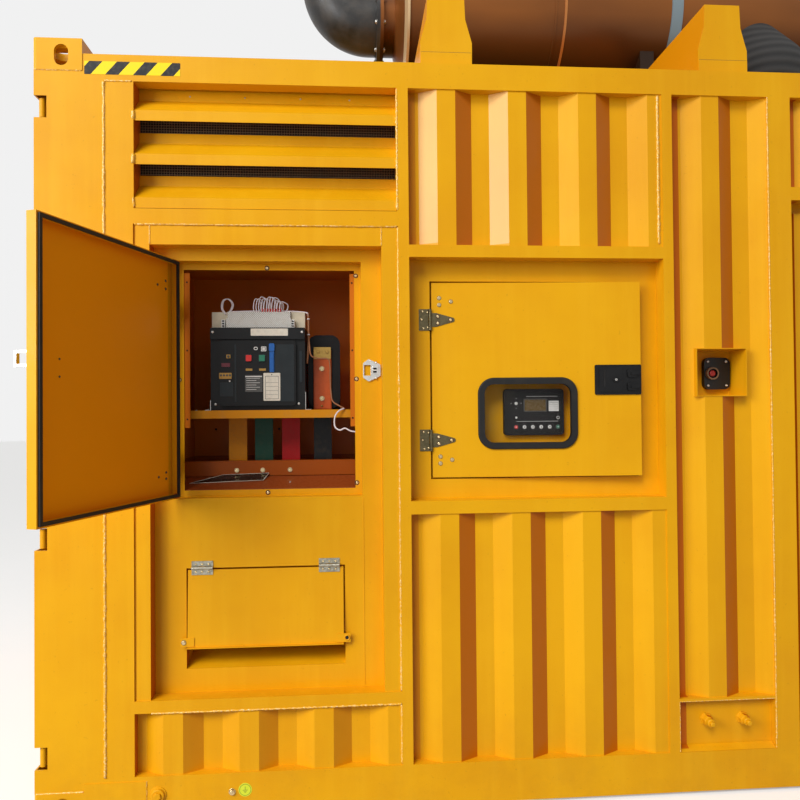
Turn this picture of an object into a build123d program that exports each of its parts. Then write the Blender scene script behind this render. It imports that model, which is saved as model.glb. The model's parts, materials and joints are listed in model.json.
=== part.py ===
"""Containerized diesel generator in a high-cube steel container, twenty feet long.

Millimetres, +Z up. The origin is on the ground, midway between the four lower corner castings.
X runs along the container, from the cable end at -X to the radiator end at +X.
The control side faces -Y.

Sides are set out with two distances: e is measured along the side from the cable end,
and v is measured inwards from the outer faces of the corner castings.
"""
import os
from math import cos, hypot, radians, sin

from build123d import *

# Container, over the corner castings
length = 6058.0
width = 2438.0
height = 2896.0

# Corner castings
casting_length = 178.0
casting_width = 162.0
casting_height = 118.0
casting_cap = 28.0
casting_wall = 16.0
casting_round = 14.0
slot_length = 124.5
slot_width = 63.5
slot_from_end = 102.5
slot_from_side = 89.5
side_slot_height = 79.0
side_slot_width = 51.0
side_slot_rise = 62.0

# Frame members, all set back a little from the castings
frame_set = 3.0
post_side = 255.0
post_end = 115.0
post_return = 42.0
post_sheet = 6.0
notch_length = 46.0
notch_height = 82.0
notch_first = 246.0
notch_last_drop = 254.8
notch_count = 4
top_rail_drop = 55.0
top_rail_height = 99.0
top_rail_depth = 60.0
tube_wall = 4.0
post_wall = 3.0
bottom_rail_low = 12.5
bottom_rail_top = 165.0
bottom_rail_flange = 47.0
bottom_rail_sheet = 5.0
end_rail_depth = 60.0
rail_plate_length = 223.0
rail_plate_height = 128.0
rail_plate_margin = 8.0

# Floor
floor_sheet = 5.0
member_height = 122.0
member_flange = 45.0
member_sheet = 4.0
member_count = 15
member_margin = 190.0

# Roof sheet with shallow cross corrugations
roof_drop = 3.0
roof_joint = 0.3
roof_wave_depth = 20.0
roof_crest = 64.0
roof_trough = 91.0
roof_slope = 27.0
roof_sheet = 2.0

# Side wall posts, given by their left edge and width, from the cable end
side_post_depth = 70.0
post_2_left = 1348.0
post_2_width = 41.0
post_3_left = 2391.0
post_3_width = 41.0
post_4_left = 2825.0
post_4_width = 94.0
post_5_left = 3879.0
post_6_left = 4975.0
corner_plate_width = 104.0
corner_plate_sheet = 3.0

# Corrugated side sheets
crest_flat = 72.0
trough_flat = 70.0
wave_slope = 68.0
wave_depth = 36.0
side_sheet = 2.0
wave_set = 8.0
crest_at_lower_left = 461.0
crest_at_middle = 1501.0
crest_at_stop_bay = 2554.0

# Bars across the bays
louvre_bar_low = 2210.0
louvre_bar_top = 2267.0
control_head_low = 2093.0
control_head_top = 2140.0
control_sill_low = 1110.0
control_sill_top = 1160.0
cabinet_sill_low = 396.0
cabinet_sill_top = 441.0
service_head_low = 2331.0
service_head_top = 2383.0

# Louvre blades
blade_least_pitch = 160.0
blade_seat_gap = 3.0
blade_sheet = 2.5
blade_flange = 39.0
blade_drop = 66.0
blade_lip = 39.0
blade_head_lap = 20.0
blade_front = 8.0
blade_back = 80.0
louvre_side_sheet = 3.0
mesh_set = 90.0
mesh_sheet = 1.0

# Breaker cabinet recess
jamb_set = 8.0
jamb_gap = 7.0
jamb_left_width = 51.0
jamb_right_width = 65.0
head_band_height = 76.0
jamb_sheet = 3.0
panel_sheet = 3.0
panel_lap = 12.0

# Breaker door, an inset pan with a gasket, hinged on its left edge
door_gap = 6.5
breaker_opening_left = 478.0
breaker_opening_width = 727.0
breaker_opening_low = 1176.0
breaker_opening_height = 911.0
breaker_door_depth = 33.0
breaker_door_lip = 20.0
door_sheet = 2.0
breaker_open_angle = 109.0
gasket_width = 11.0
gasket_height = 7.0
gasket_inset = 6.0

# Breaker enclosure behind the door
throat_sheet = 3.0
flange_width = 26.0
flange_left_width = 39.0
enclosure_depth = 420.0
enclosure_margin = 14.0
enclosure_sheet = 2.0
strip_width = 24.0
strip_inset = 20.0
strip_left_inset = 37.0
strip_short = 12.0
strip_below_shelf = 67.0
strip_sheet = 2.0
shelf_top = 1512.0
shelf_lip = 32.0
shelf_set = 45.0
shelf_sheet = 3.0

# Circuit breaker, its terminal block, neutral bar and busbars
breaker_set = 80.0
breaker_left = 603.0
breaker_width = 376.0
breaker_height = 332.0
breaker_depth = 260.0
breaker_bezel_inset = 36.0
breaker_bezel_height = 262.0
breaker_bezel_proud = 14.0
terminal_height = 66.0
terminal_depth = 60.0
terminal_set = 27.0
terminal_inset = 1.0
terminal_row_left = 61.0
terminal_row_width = 260.0
terminal_row_height = 38.0
terminal_row_set = 4.0
busbar_lefts = (657.0, 764.0, 875.5)
busbar_width = 74.0
busbar_sheet = 10.0
busbar_set = 180.0
support_height = 61.0
support_depth = 40.0
support_rise = 67.0
neutral_left = 1008.0
neutral_bar_top = 1762.0
transformer_width = 134.0
transformer_shift = 7.0
transformer_height = 308.0
transformer_depth = 50.0
transformer_round = 40.0
transformer_rise = 6.0
transformer_clearance = 0.3

# Latch keeper beside the breaker door
keeper_rise = 1663.0
keeper_width = 68.0
keeper_height = 87.0
keeper_shoulder = 22.0
keeper_left_height = 56.0
keeper_right_height = 44.0
keeper_sheet = 6.0
keeper_slot_width = 28.0
keeper_slot_height = 44.0
keeper_round = 6.0
keeper_gap = 6.0
strike_width = 12.0
strike_height = 46.0
strike_bar = 7.0
strike_proud = 48.0
strike_from_edge = 6.0

# Cable outlet and its flap, hinged along its top edge
outlet_left = 533.0
outlet_width = 602.0
outlet_low = 530.0
outlet_height = 381.0
flap_height = 292.0
flap_sheet = 3.0
flap_lip = 14.0
flap_side_fold = 14.0
flap_ajar = 3.2
flap_gap = 6.0
ear_length = 26.0
ear_height = 32.0
chute_depth = 150.0
chute_drop = 40.0
chute_sheet = 2.0

# Hinges with round barrels
barrel_radius = 6.0
pin_radius = 3.0
pin_clearance = 0.08
knuckle_gap = 0.6
leaf_sheet = 2.5
flap_hinge_length = 80.0
flap_hinge_leaf = 26.0
flap_hinge_inset = 20.0
butt_hinge_length = 90.0
butt_hinge_leaf = 30.0
butt_hinge_inset = 120.0
strap_hinge_leaf = 44.0
strap_hinge_height = 84.0
strap_length = 96.0
strap_root = 54.0
strap_tip = 9.0
strap_straight = 24.0
strap_hinge_rises = (1388.0, 1860.0)

# Control recess and its door
control_opening_left = 1474.0
control_opening_width = 838.0
control_opening_low = 1236.0
control_opening_height = 776.0
control_door_depth = 22.0
control_ajar = 3.0
rebate_width = 20.0
window_left = 1660.0
window_width = 393.0
window_low = 1350.5
window_height = 281.0
window_round = 64.0
seal_width = 26.0
seal_proud = 9.0
seal_spigot = 12.0
seal_groove = 6.0
glass_sheet = 6.0
latch_left = 2122.0
latch_width = 184.0
latch_low = 1561.0
latch_height = 118.0
latch_sheet = 4.0
latch_round = 6.0
paddle_width = 92.0
paddle_height = 96.0
paddle_proud = 3.0
lock_radius = 13.0
control_box_sheet = 2.0
control_panel_set = 62.0
controller_left = 1775.0
controller_low = 1402.0
controller_width = 245.0
controller_height = 186.0
controller_depth = 20.0
controller_round = 14.0

# Stop button recess
stop_left = 2520.0
stop_width = 206.0
stop_low = 1551.0
stop_height = 190.0
stop_depth = 130.0
stop_sheet = 3.0
guard_width = 109.0
guard_height = 130.0
guard_depth = 22.0
guard_round = 24.0
guard_left_gap = 83.0
button_collar_radius = 25.0
button_collar_wall = 6.0
button_collar_depth = 14.0
button_radius = 13.0
button_proud = 8.0
button_shift = 24.0

# Drain port plate
port_top = 371.0
port_set = 37.0
port_frame = 10.0
fitting_rise = 287.0
fitting_lefts = (2529.0, 2678.0)
fitting_radius = 17.0
fitting_length = 96.0
fitting_cap_radius = 22.0
fitting_cap_length = 30.0

# Service door bay
service_frame = 40.0
service_leaf_proud = 22.0

# Cargo doors at the cable end
cargo_door_set = 45.0
cargo_door_depth = 50.0
cargo_door_gap = 6.0
cargo_bar = 60.0
cargo_wave_first = 420.0
lock_rod_radius = 17.0
lock_rod_shifts = (270.0, 790.0)
lock_rod_set = 22.0
rod_bracket_height = 60.0
rod_bracket_width = 70.0
rod_bracket_rises = (426.0, 982.0)
rod_bracket_drops = (1080.0, 524.0)
lock_handle_length = 420.0
lock_handle_height = 32.0
lock_handle_sheet = 8.0
lock_handle_rise = 1240.0
cargo_hinge_height = 70.0
cargo_hinge_blade = 120.0
cargo_hinge_sheet = 12.0
cargo_pin_radius = 12.0

# Radiator end
end_stile_width = 60.0
end_stile_depth = 70.0
mullion_width = 60.0

# Silencer and its saddles on the roof
saddle_lefts = (1441.0, 2556.0)
saddle_base_width = 203.0
saddle_foot_height = 56.0
saddle_knee = 38.0
saddle_shoulder = 130.0
saddle_top_width = 144.0
saddle_plate_sheet = 10.0
saddle_plate_set = 27.0
saddle_web_sheet = 10.0
silencer_radius = 340.0
silencer_set = 985.0
silencer_over_roof = 339.0
silencer_over_saddle = 61.0
silencer_left = 1450.0
silencer_right = 3600.0
rim_width = 12.0
rim_proud = 8.0
end_recess = 6.0
seam_lefts = (2170.0, 2219.0)
seam_width = 10.0
seam_proud = 3.0
band_left = 2755.0
band_width = 54.0
band_proud = 4.0
cone_length = 50.0
neck_radius = 150.0
neck_length = 56.0
pipe_flange_radius = 194.0
pipe_flange_sheet = 17.0
elbow_radius = 192.0
elbow_wall = 6.0
collar_length = 36.0
outlet_straight = 60.0
inlet_radius = 150.0
inlet_left = 3215.0
inlet_set = 540.0
inlet_bend_radius = 200.0
inlet_turn = 45.0
inlet_column_rise = 159.0
inlet_straight = 260.0
inlet_collar = 30.0
cradle_width = 70.0
cradle_reach = 0.75
cradle_top = 0.6
cradle_sheet = 12.0

# Sizes that follow from the ones above
left_end = -length / 2
near_side = -width / 2
top_rail_top = height - top_rail_drop
top_rail_low = top_rail_top - top_rail_height
inlet_column_top = top_rail_top + inlet_column_rise
silencer_rise = top_rail_top + silencer_over_roof + silencer_radius
saddle_top = silencer_rise - silencer_radius - silencer_over_saddle
notch_pitch = (height - notch_last_drop - notch_first) / (notch_count - 1)
rod_bracket_places = rod_bracket_rises + tuple(height - drop for drop in rod_bracket_drops)
plate_left = post_side
plate_right = post_side + corner_plate_width
back_plane = frame_set + side_post_depth
post_2_right = post_2_left + post_2_width
post_3_right = post_3_left + post_3_width
post_4_right = post_4_left + post_4_width
post_5_right = post_5_left + post_4_width
post_6_right = post_6_left + post_3_width
far_plate_left = length - plate_right
louvre_left = plate_right + louvre_side_sheet
louvre_right = post_2_left - louvre_side_sheet


def side_box(e0, e1, v0, v1, z0, z1):
    """Box given by distances along the near side, inwards from it, and up."""
    centre = ((e0 + e1) / 2 + left_end, (v0 + v1) / 2 + near_side, (z0 + z1) / 2)
    return Pos(*centre) * Box(e1 - e0, v1 - v0, z1 - z0)


def far(shape):
    """The same piece on the far side."""
    return mirror(shape, about=Plane.XZ)


def other_end(shape):
    """The same piece at the other end."""
    return mirror(shape, about=Plane.YZ)


def both_sides(shapes):
    return list(shapes) + [far(shape) for shape in shapes]


def face_of(points):
    return make_face(Polyline(*points, close=True))


def bent_strip(points, sheet):
    """Section of a folded sheet. It lies on the left of the line through the points."""
    shifted = []
    last = len(points) - 1
    for i, (x, y) in enumerate(points):
        normals = []
        for a, b in ((i - 1, i), (i, i + 1)):
            if a < 0 or b > last:
                continue
            run_x = points[b][0] - points[a][0]
            run_y = points[b][1] - points[a][1]
            run = hypot(run_x, run_y)
            normals.append((-run_y / run, run_x / run))
        first = normals[0]
        second = normals[-1]
        share = 1 + first[0] * second[0] + first[1] * second[1]
        shift_x = (first[0] + second[0]) / share
        shift_y = (first[1] + second[1]) / share
        shifted.append((x + sheet * shift_x, y + sheet * shift_y))
    return face_of(list(points) + shifted[::-1])


def plan_extrusion(section, z0, z1):
    """Extrude upwards a section drawn as (e, v)."""
    return Pos(left_end, near_side, z0) * extrude(section, z1 - z0)


def along_extrusion(section, e0, e1):
    """Extrude along the side a section drawn as (v, z)."""
    placed = Plane((left_end + e0, near_side, 0), x_dir=(0, 1, 0), z_dir=(1, 0, 0)) * section
    return extrude(placed, e1 - e0, dir=(1, 0, 0))


def face_extrusion(section, v0, v1):
    """Extrude inwards a section drawn on the side as (e, z)."""
    placed = Plane((left_end, near_side + v0, 0), x_dir=(1, 0, 0), z_dir=(0, -1, 0)) * section
    return extrude(placed, v1 - v0, dir=(0, 1, 0))


def cylinder_inwards(radius, e, z, v0, v1):
    """Round bar that points straight into the side."""
    return face_extrusion(Pos(e, z) * Circle(radius), v0, v1)


def upright_cylinder(radius, e, v, z0, z1):
    return plan_extrusion(Pos(e, v) * Circle(radius), z0, z1)


def level_cylinder(radius, v, z, e0, e1):
    """Round bar that lies along the side."""
    return along_extrusion(Pos(v, z) * Circle(radius), e0, e1)


def wave_points(start, end, first_crest, crest, slope, trough, depth):
    """Line of a corrugated sheet: distance along it, and depth behind its crests."""
    pitch = crest + 2 * slope + trough

    def depth_at(place):
        into = (place - first_crest) % pitch
        if into <= crest:
            return 0.0
        if into <= crest + slope:
            return depth * (into - crest) / slope
        if into <= crest + slope + trough:
            return depth
        return depth * (pitch - into) / slope

    points = [(start, depth_at(start))]
    turn = first_crest - pitch * (int((first_crest - start) / pitch) + 1)
    while turn < end:
        for step, value in ((0, 0.0), (crest, 0.0), (crest + slope, depth), (crest + slope + trough, depth)):
            if start < turn + step < end:
                points.append((turn + step, value))
        turn += pitch
    points.append((end, depth_at(end)))
    return points


def corrugated(e0, e1, z0, z1, first_crest):
    """Side sheet with upright corrugations."""
    line = wave_points(e0, e1, first_crest, crest_flat, wave_slope, trough_flat, wave_depth)
    front = [(e, wave_set + depth) for e, depth in line]
    back = [(e, v + side_sheet) for e, v in reversed(front)]
    return plan_extrusion(face_of(front + back), z0, z1)


def corner_casting():
    """Lower casting at the cable end of the near side."""
    body = side_box(0, casting_length, 0, casting_width, 0, casting_height)
    outer_corner = body.edges().filter_by(Axis.Z).sort_by(lambda edge: edge.center().X + edge.center().Y)[0]
    body = fillet(outer_corner, casting_round)
    body -= side_box(
        casting_wall, casting_length - casting_wall, casting_wall, casting_width - casting_wall,
        casting_cap, casting_height - casting_wall)
    slot = Pos(slot_from_end, slot_from_side) * SlotOverall(slot_length, slot_width)
    body -= plan_extrusion(slot, -1, casting_cap + 1)
    upright = SlotOverall(side_slot_height, side_slot_width, rotation=90)
    body -= face_extrusion(Pos(slot_from_end, side_slot_rise) * upright, -1, casting_wall + 1)
    body -= along_extrusion(Pos(slot_from_side, side_slot_rise) * upright, -1, casting_wall + 1)
    return body


def four_corners(shape):
    return [shape, far(shape), other_end(shape), far(other_end(shape))]


def lower_castings():
    return four_corners(corner_casting())


def upper_castings():
    flipped = Pos(0, 0, height) * mirror(corner_casting(), about=Plane.XY)
    return four_corners(flipped)


def corner_plate():
    """Plate beside the corner post, with its free edge folded inwards."""
    line = [(plate_left, frame_set), (plate_right, frame_set), (plate_right, back_plane)]
    return plan_extrusion(bent_strip(line, corner_plate_sheet), bottom_rail_top, top_rail_low)


def corner_post():
    """Folded post with a wide side face, an end face and an inner return, and the plate beside it."""
    line = [
        (post_side, frame_set),
        (frame_set, frame_set),
        (frame_set, post_end),
        (frame_set + post_return, post_end),
    ]
    post = plan_extrusion(bent_strip(line, -post_sheet), casting_height, height - casting_height)
    post -= side_box(casting_length, post_side + 1, 0, post_end, casting_height - 1, bottom_rail_top)
    post -= side_box(casting_length, post_side + 1, 0, post_end, top_rail_low, height)
    return post + corner_plate()


def notch_centres():
    return [notch_first + notch_pitch * i for i in range(notch_count)]


def cargo_end_post():
    """Corner post with notches for the cargo door hinges."""
    post = corner_post()
    for centre in notch_centres():
        post -= side_box(
            0, frame_set + notch_length, 0, post_end + 1,
            centre - notch_height / 2, centre + notch_height / 2)
    return post


def top_rail():
    end = length - casting_length
    back = frame_set + top_rail_depth
    outer = side_box(casting_length, end, frame_set, back, top_rail_low, top_rail_top)
    hollow = side_box(casting_length, end, frame_set + tube_wall, back - tube_wall,
                      top_rail_low + tube_wall, top_rail_top - tube_wall)
    return outer - hollow


def bottom_rail():
    """Channel that opens inwards."""
    line = [
        (frame_set + bottom_rail_flange, bottom_rail_top),
        (frame_set, bottom_rail_top),
        (frame_set, bottom_rail_low),
        (frame_set + bottom_rail_flange, bottom_rail_low),
    ]
    rail = along_extrusion(bent_strip(line, bottom_rail_sheet), casting_length, length - casting_length)
    plate = rail_plate()
    return rail + plate + other_end(plate)


def rail_plate():
    """Plate over the bottom rail beside a corner casting."""
    low = bottom_rail_low + rail_plate_margin
    end = casting_length + rail_plate_length
    return side_box(casting_length, end, 0, frame_set, low, low + rail_plate_height)


def end_rails(z0, z1):
    """Tubes across both ends, at one level."""
    outer = side_box(frame_set, frame_set + end_rail_depth, casting_width, width - casting_width, z0, z1)
    hollow = side_box(
        frame_set + tube_wall, frame_set + end_rail_depth - tube_wall, casting_width, width - casting_width,
        z0 + tube_wall, z1 - tube_wall)
    rail = outer - hollow
    return [rail, other_end(rail)]


def cross_member(e):
    """Floor channel between the bottom rails."""
    top = bottom_rail_top - bottom_rail_sheet
    line = [
        (e + member_flange, top),
        (e, top),
        (e, top - member_height),
        (e + member_flange, top - member_height),
    ]
    section = bent_strip(line, member_sheet)
    web = frame_set + bottom_rail_sheet
    return face_extrusion(section, web, width - web)


def cross_members():
    pitch = (length - 2 * member_margin - member_flange) / (member_count - 1)
    return [cross_member(member_margin + pitch * i) for i in range(member_count)]


def floor_plate():
    edge = frame_set + bottom_rail_flange
    end = frame_set + end_rail_depth
    return side_box(end, length - end, edge, width - edge, bottom_rail_top - bottom_rail_sheet,
                    bottom_rail_top - bottom_rail_sheet + floor_sheet)


def roof():
    """Roof sheet, corrugated across the container, with flat header plates between the end castings."""
    start = casting_length + roof_joint
    end = length - start
    line = wave_points(start, end, start + roof_trough, roof_crest, roof_slope, roof_trough, roof_wave_depth)
    top = top_rail_top - roof_drop
    upper = [(e, top - depth) for e, depth in line]
    lower = [(e, z - roof_sheet) for e, z in reversed(upper)]
    edge = frame_set + top_rail_depth
    sheet = face_extrusion(face_of(upper + lower), edge, width - edge)
    header = side_box(frame_set + end_rail_depth, casting_length, casting_width, width - casting_width,
                      top - roof_sheet, top)
    return [sheet, header, other_end(header)]


def upright_tube(e0, e1):
    outer = side_box(e0, e1, frame_set, back_plane, bottom_rail_top, top_rail_low)
    front = frame_set + post_wall
    hollow = side_box(e0 + post_wall, e1 - post_wall, front, back_plane - post_wall, 0, height)
    return outer - hollow


def side_posts():
    return [
        upright_tube(post_2_left, post_2_right),
        upright_tube(post_3_left, post_3_right),
        upright_tube(post_4_left, post_4_right),
        upright_tube(post_5_left, post_5_right),
        upright_tube(post_6_left, post_6_right),
    ]


def cross_bar(e0, e1, z0, z1):
    """Tube between two posts."""
    outer = side_box(e0, e1, frame_set, back_plane, z0, z1)
    front = frame_set + post_wall
    hollow = side_box(e0 - 1, e1 + 1, front, back_plane - post_wall, z0 + post_wall, z1 - post_wall)
    return outer - hollow


def side_bars():
    """Bars of both sides; the far side has only the first two."""
    shared = [
        cross_bar(plate_right, post_2_left, louvre_bar_low, louvre_bar_top),
        cross_bar(post_4_right, post_5_left, service_head_low, service_head_top),
    ]
    near = [
        cross_bar(plate_right, post_2_left, cabinet_sill_low, cabinet_sill_top),
        cross_bar(post_2_right, post_3_left, control_head_low, control_head_top),
        cross_bar(post_2_right, post_3_left, control_sill_low, control_sill_top),
    ]
    return both_sides(shared) + near


def end_bay_sheets():
    """Corrugated sheets that both sides share, from the service bay to the radiator end."""
    crest_5 = post_5_right + crest_at_middle - post_2_right
    crest_6 = post_6_right + crest_at_middle - post_2_right
    return [
        corrugated(post_4_right, post_5_left, service_head_top, top_rail_low,
                   post_4_right + crest_at_middle - post_2_right),
        corrugated(post_5_right, post_6_left, bottom_rail_top, top_rail_low, crest_5),
        corrugated(post_6_right, far_plate_left, bottom_rail_top, top_rail_low, crest_6),
    ]


def stop_recess():
    """Open box let into the corrugated sheet."""
    front = wave_set - stop_sheet
    e1 = stop_left + stop_width
    z1 = stop_low + stop_height
    body = side_box(stop_left, e1, front, front + stop_depth, stop_low, z1)
    body -= side_box(stop_left + stop_sheet, e1 - stop_sheet, front - 1, front + stop_depth - stop_sheet,
                     stop_low + stop_sheet, z1 - stop_sheet)
    return body


def stop_bay_sheet():
    """Sheet with the stop button recess welded into it."""
    sheet = corrugated(post_3_right, post_4_left, port_top, top_rail_low, crest_at_stop_bay)
    sheet -= side_box(stop_left, stop_left + stop_width, 0, back_plane, stop_low, stop_low + stop_height)
    return sheet + stop_recess()


def near_sheets():
    pieces = [
        corrugated(plate_right, post_2_left, bottom_rail_top, cabinet_sill_low, crest_at_lower_left),
        corrugated(post_2_right, post_3_left, control_head_top, top_rail_low, crest_at_middle),
        corrugated(post_2_right, post_3_left, bottom_rail_top, control_sill_low, crest_at_middle),
    ]
    return pieces + end_bay_sheets()


def far_sheets():
    pieces = [
        corrugated(plate_right, post_2_left, bottom_rail_top, louvre_bar_low, crest_at_lower_left),
        corrugated(post_2_right, post_3_left, bottom_rail_top, top_rail_low, crest_at_middle),
        corrugated(post_3_right, post_4_left, bottom_rail_top, top_rail_low, crest_at_stop_bay),
    ]
    return [far(piece) for piece in pieces + end_bay_sheets()]


def blade_tops(low, top):
    """Upper edges of the blades that fill an opening evenly, the lowest just over its lower edge."""
    room = top - low - blade_flange - blade_drop - blade_lip - blade_seat_gap
    steps = int(room // blade_least_pitch)
    return [top - room * i / max(steps, 1) for i in range(steps + 1)]


def blade_section(top, front, back):
    """Louvre blade: an upright flange behind, a slope down to the front and a short lip."""
    line = [
        (front, top - blade_flange - blade_drop - blade_lip),
        (front, top - blade_flange - blade_drop),
        (back, top - blade_flange),
        (back, top),
    ]
    return bent_strip(line, -blade_sheet)


def side_louvre():
    """Blades between two side plates; the top one laps behind the rail."""
    sides = [
        side_box(plate_right, louvre_left, frame_set, mesh_set, louvre_bar_top, top_rail_low),
        side_box(louvre_right, post_2_left, frame_set, mesh_set, louvre_bar_top, top_rail_low),
    ]
    body = sides[0] + sides[1]
    for top in blade_tops(louvre_bar_top, top_rail_low):
        section = blade_section(top, blade_front, blade_back)
        body += along_extrusion(section, louvre_left, louvre_right)
    return body + side_box(louvre_left, louvre_right, blade_back, blade_back + blade_sheet,
                           top_rail_low, top_rail_low + blade_head_lap)


def louvre_mesh():
    back = mesh_set + mesh_sheet
    return side_box(plate_right, post_2_left, mesh_set, back, louvre_bar_top, top_rail_low)


def cabinet_surround():
    """Two jambs and the band over the cabinet recess, folded sheets welded together."""
    left_outer = plate_right + jamb_gap
    left_inner = left_outer + jamb_left_width
    right_inner = post_2_left - jamb_right_width
    left = bent_strip([(left_outer, jamb_set), (left_inner, jamb_set), (left_inner, back_plane)], jamb_sheet)
    right_line = [(right_inner, back_plane), (right_inner, jamb_set), (post_2_left, jamb_set)]
    right = bent_strip(right_line, jamb_sheet)
    band_low = louvre_bar_low - head_band_height
    band_line = [(jamb_set, louvre_bar_low), (jamb_set, band_low), (back_plane, band_low)]
    band = bent_strip(band_line, jamb_sheet)
    body = plan_extrusion(left, cabinet_sill_top, louvre_bar_low)
    body += plan_extrusion(right, cabinet_sill_top, louvre_bar_low)
    return body + along_extrusion(band, left_inner, right_inner)


def breaker_opening(margin, v0, v1):
    """Block of the breaker door's opening, wider by a margin all round."""
    return side_box(
        breaker_opening_left - margin, breaker_opening_left + breaker_opening_width + margin, v0, v1,
        breaker_opening_low - margin, breaker_opening_low + breaker_opening_height + margin)


def outlet_opening(v0, v1):
    return side_box(outlet_left, outlet_left + outlet_width, v0, v1, outlet_low, outlet_low + outlet_height)


def cabinet_back_panel():
    """Back of the cabinet recess, with the breaker opening and the cable outlet."""
    panel = side_box(
        plate_right + jamb_gap + jamb_left_width - panel_lap, post_2_left + panel_lap,
        back_plane, back_plane + panel_sheet,
        cabinet_sill_top - panel_lap, louvre_bar_low + panel_lap)
    panel -= breaker_opening(0, 0, 2 * back_plane)
    panel -= outlet_opening(0, 2 * back_plane)
    return panel + cable_chute()


throat_back = back_plane + breaker_door_depth + gasket_height + door_gap
enclosure_back = throat_back + enclosure_depth
shelf_front = throat_back + shelf_set
breaker_front = throat_back + breaker_set


def breaker_enclosure():
    """Throat round the door, flange for the gasket, the box behind it, its strips and busbar support."""
    body = breaker_opening(throat_sheet, back_plane + panel_sheet, throat_back)
    body -= breaker_opening(0, back_plane, throat_back)
    inner = enclosure_margin - enclosure_sheet
    body += breaker_opening(enclosure_margin, throat_back, enclosure_back)
    body -= breaker_opening(inner, throat_back + throat_sheet, enclosure_back - enclosure_sheet)
    body -= side_box(
        breaker_opening_left + flange_left_width, breaker_opening_left + breaker_opening_width - flange_width,
        throat_back - 1, throat_back + throat_sheet + 1,
        breaker_opening_low + flange_width, breaker_opening_low + breaker_opening_height - flange_width)
    for strip in enclosure_side_strips():
        body += strip
    return body + busbar_support()


def enclosure_side_strips():
    """Strips just inside the flange."""
    top = breaker_opening_low + breaker_opening_height - flange_width - strip_short
    front = throat_back + throat_sheet
    low = shelf_top - strip_below_shelf
    right = breaker_opening_left + breaker_opening_width - strip_inset
    left = breaker_opening_left + strip_left_inset
    return [
        side_box(left, left + strip_width, front, front + strip_sheet, low, top),
        side_box(right - strip_width, right, front, front + strip_sheet, low, top),
    ]


def enclosure_inner_edges():
    inner = enclosure_margin - enclosure_sheet
    return breaker_opening_left - inner, breaker_opening_left + breaker_opening_width + inner


def breaker_shelf():
    """Shelf with a front lip; it spans the enclosure."""
    e0, e1 = enclosure_inner_edges()
    front = shelf_front
    back = enclosure_back - enclosure_sheet
    line = [(front, shelf_top - shelf_lip), (front, shelf_top), (back, shelf_top)]
    shelf = along_extrusion(bent_strip(line, -shelf_sheet), e0, e1)
    for left in busbar_lefts + (neutral_left,):
        shelf -= side_box(
            left - busbar_sheet, left + busbar_width + busbar_sheet,
            throat_back + busbar_set - busbar_sheet, throat_back + busbar_set + 2 * busbar_sheet,
            shelf_top - shelf_lip, shelf_top + 1)
    return shelf


def circuit_breaker():
    """Breaker body with a raised bezel and the terminal block on top."""
    right = breaker_left + breaker_width
    bottom = shelf_top
    top = bottom + breaker_height
    body = side_box(breaker_left, right, breaker_front, breaker_front + breaker_depth, bottom, top)
    bezel_low = bottom + breaker_bezel_inset / 2
    bezel = side_box(
        breaker_left + breaker_bezel_inset, right - breaker_bezel_inset,
        breaker_front - breaker_bezel_proud, breaker_front, bezel_low, bezel_low + breaker_bezel_height)
    front_edges = bezel.edges().filter_by(Axis.Y)
    return body + fillet(front_edges, breaker_bezel_proud) + terminal_block()


def terminal_block():
    """Terminal block as wide as the breaker, with a lower row of terminals in front."""
    right = breaker_left + breaker_width
    base = shelf_top + breaker_height
    front = breaker_front + terminal_set
    block = side_box(breaker_left + terminal_inset, right - terminal_inset, front, front + terminal_depth,
                     base, base + terminal_height)
    row_left = breaker_left + terminal_row_left
    return block + side_box(row_left, row_left + terminal_row_width, breaker_front + terminal_row_set, front,
                            base, base + terminal_row_height)


def busbar(left, top):
    v = throat_back + busbar_set
    low = breaker_opening_low - enclosure_margin + enclosure_sheet
    return side_box(left, left + busbar_width, v, v + busbar_sheet, low, top)


def busbar_support():
    """Cross bar that the busbars are bolted to."""
    e0, e1 = enclosure_inner_edges()
    low = breaker_opening_low + support_rise
    v = throat_back + busbar_set
    return side_box(e0, e1, v - support_depth, v, low, low + support_height)


def neutral_transformer():
    """Current transformer that the neutral bar lies on, with rounded corners and a foot."""
    centre = neutral_left + busbar_width / 2 + transformer_shift
    low = shelf_top + transformer_rise
    front = throat_back + busbar_set + busbar_sheet + transformer_clearance
    back = front + transformer_depth
    outline = Pos(centre, low + transformer_height / 2) * RectangleRounded(
        transformer_width, transformer_height, transformer_round)
    body = face_extrusion(outline, front, back)
    half = transformer_width / 2
    foot_top = low + transformer_height / 2
    foot = side_box(centre - half, centre + half, back, back + shelf_sheet, shelf_top, foot_top)
    return body + foot


def latch_keeper():
    """Tapered plate on the right stile that the breaker door latches into."""
    centre = breaker_opening_left + breaker_opening_width + keeper_gap + keeper_width / 2
    half = keeper_width / 2
    upper = [(-half, keeper_left_height / 2), (keeper_shoulder - half, keeper_height / 2),
             (half, keeper_right_height / 2)]
    lower = [(x, -y) for x, y in reversed(upper)]
    outline = fillet(face_of(upper + lower).vertices(), keeper_round)
    plate = face_extrusion(Pos(centre, keeper_rise) * outline, back_plane - keeper_sheet, back_plane)
    slot_e = centre - keeper_width / 4
    plate -= side_box(slot_e - keeper_slot_width / 2, slot_e + keeper_slot_width / 2, 0, back_plane + 1,
                      keeper_rise - keeper_slot_height / 2, keeper_rise + keeper_slot_height / 2)
    return plate


breaker_pivot_e = breaker_opening_left + 1.0
breaker_pivot_v = back_plane - leaf_sheet - barrel_radius + 1.0


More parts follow.
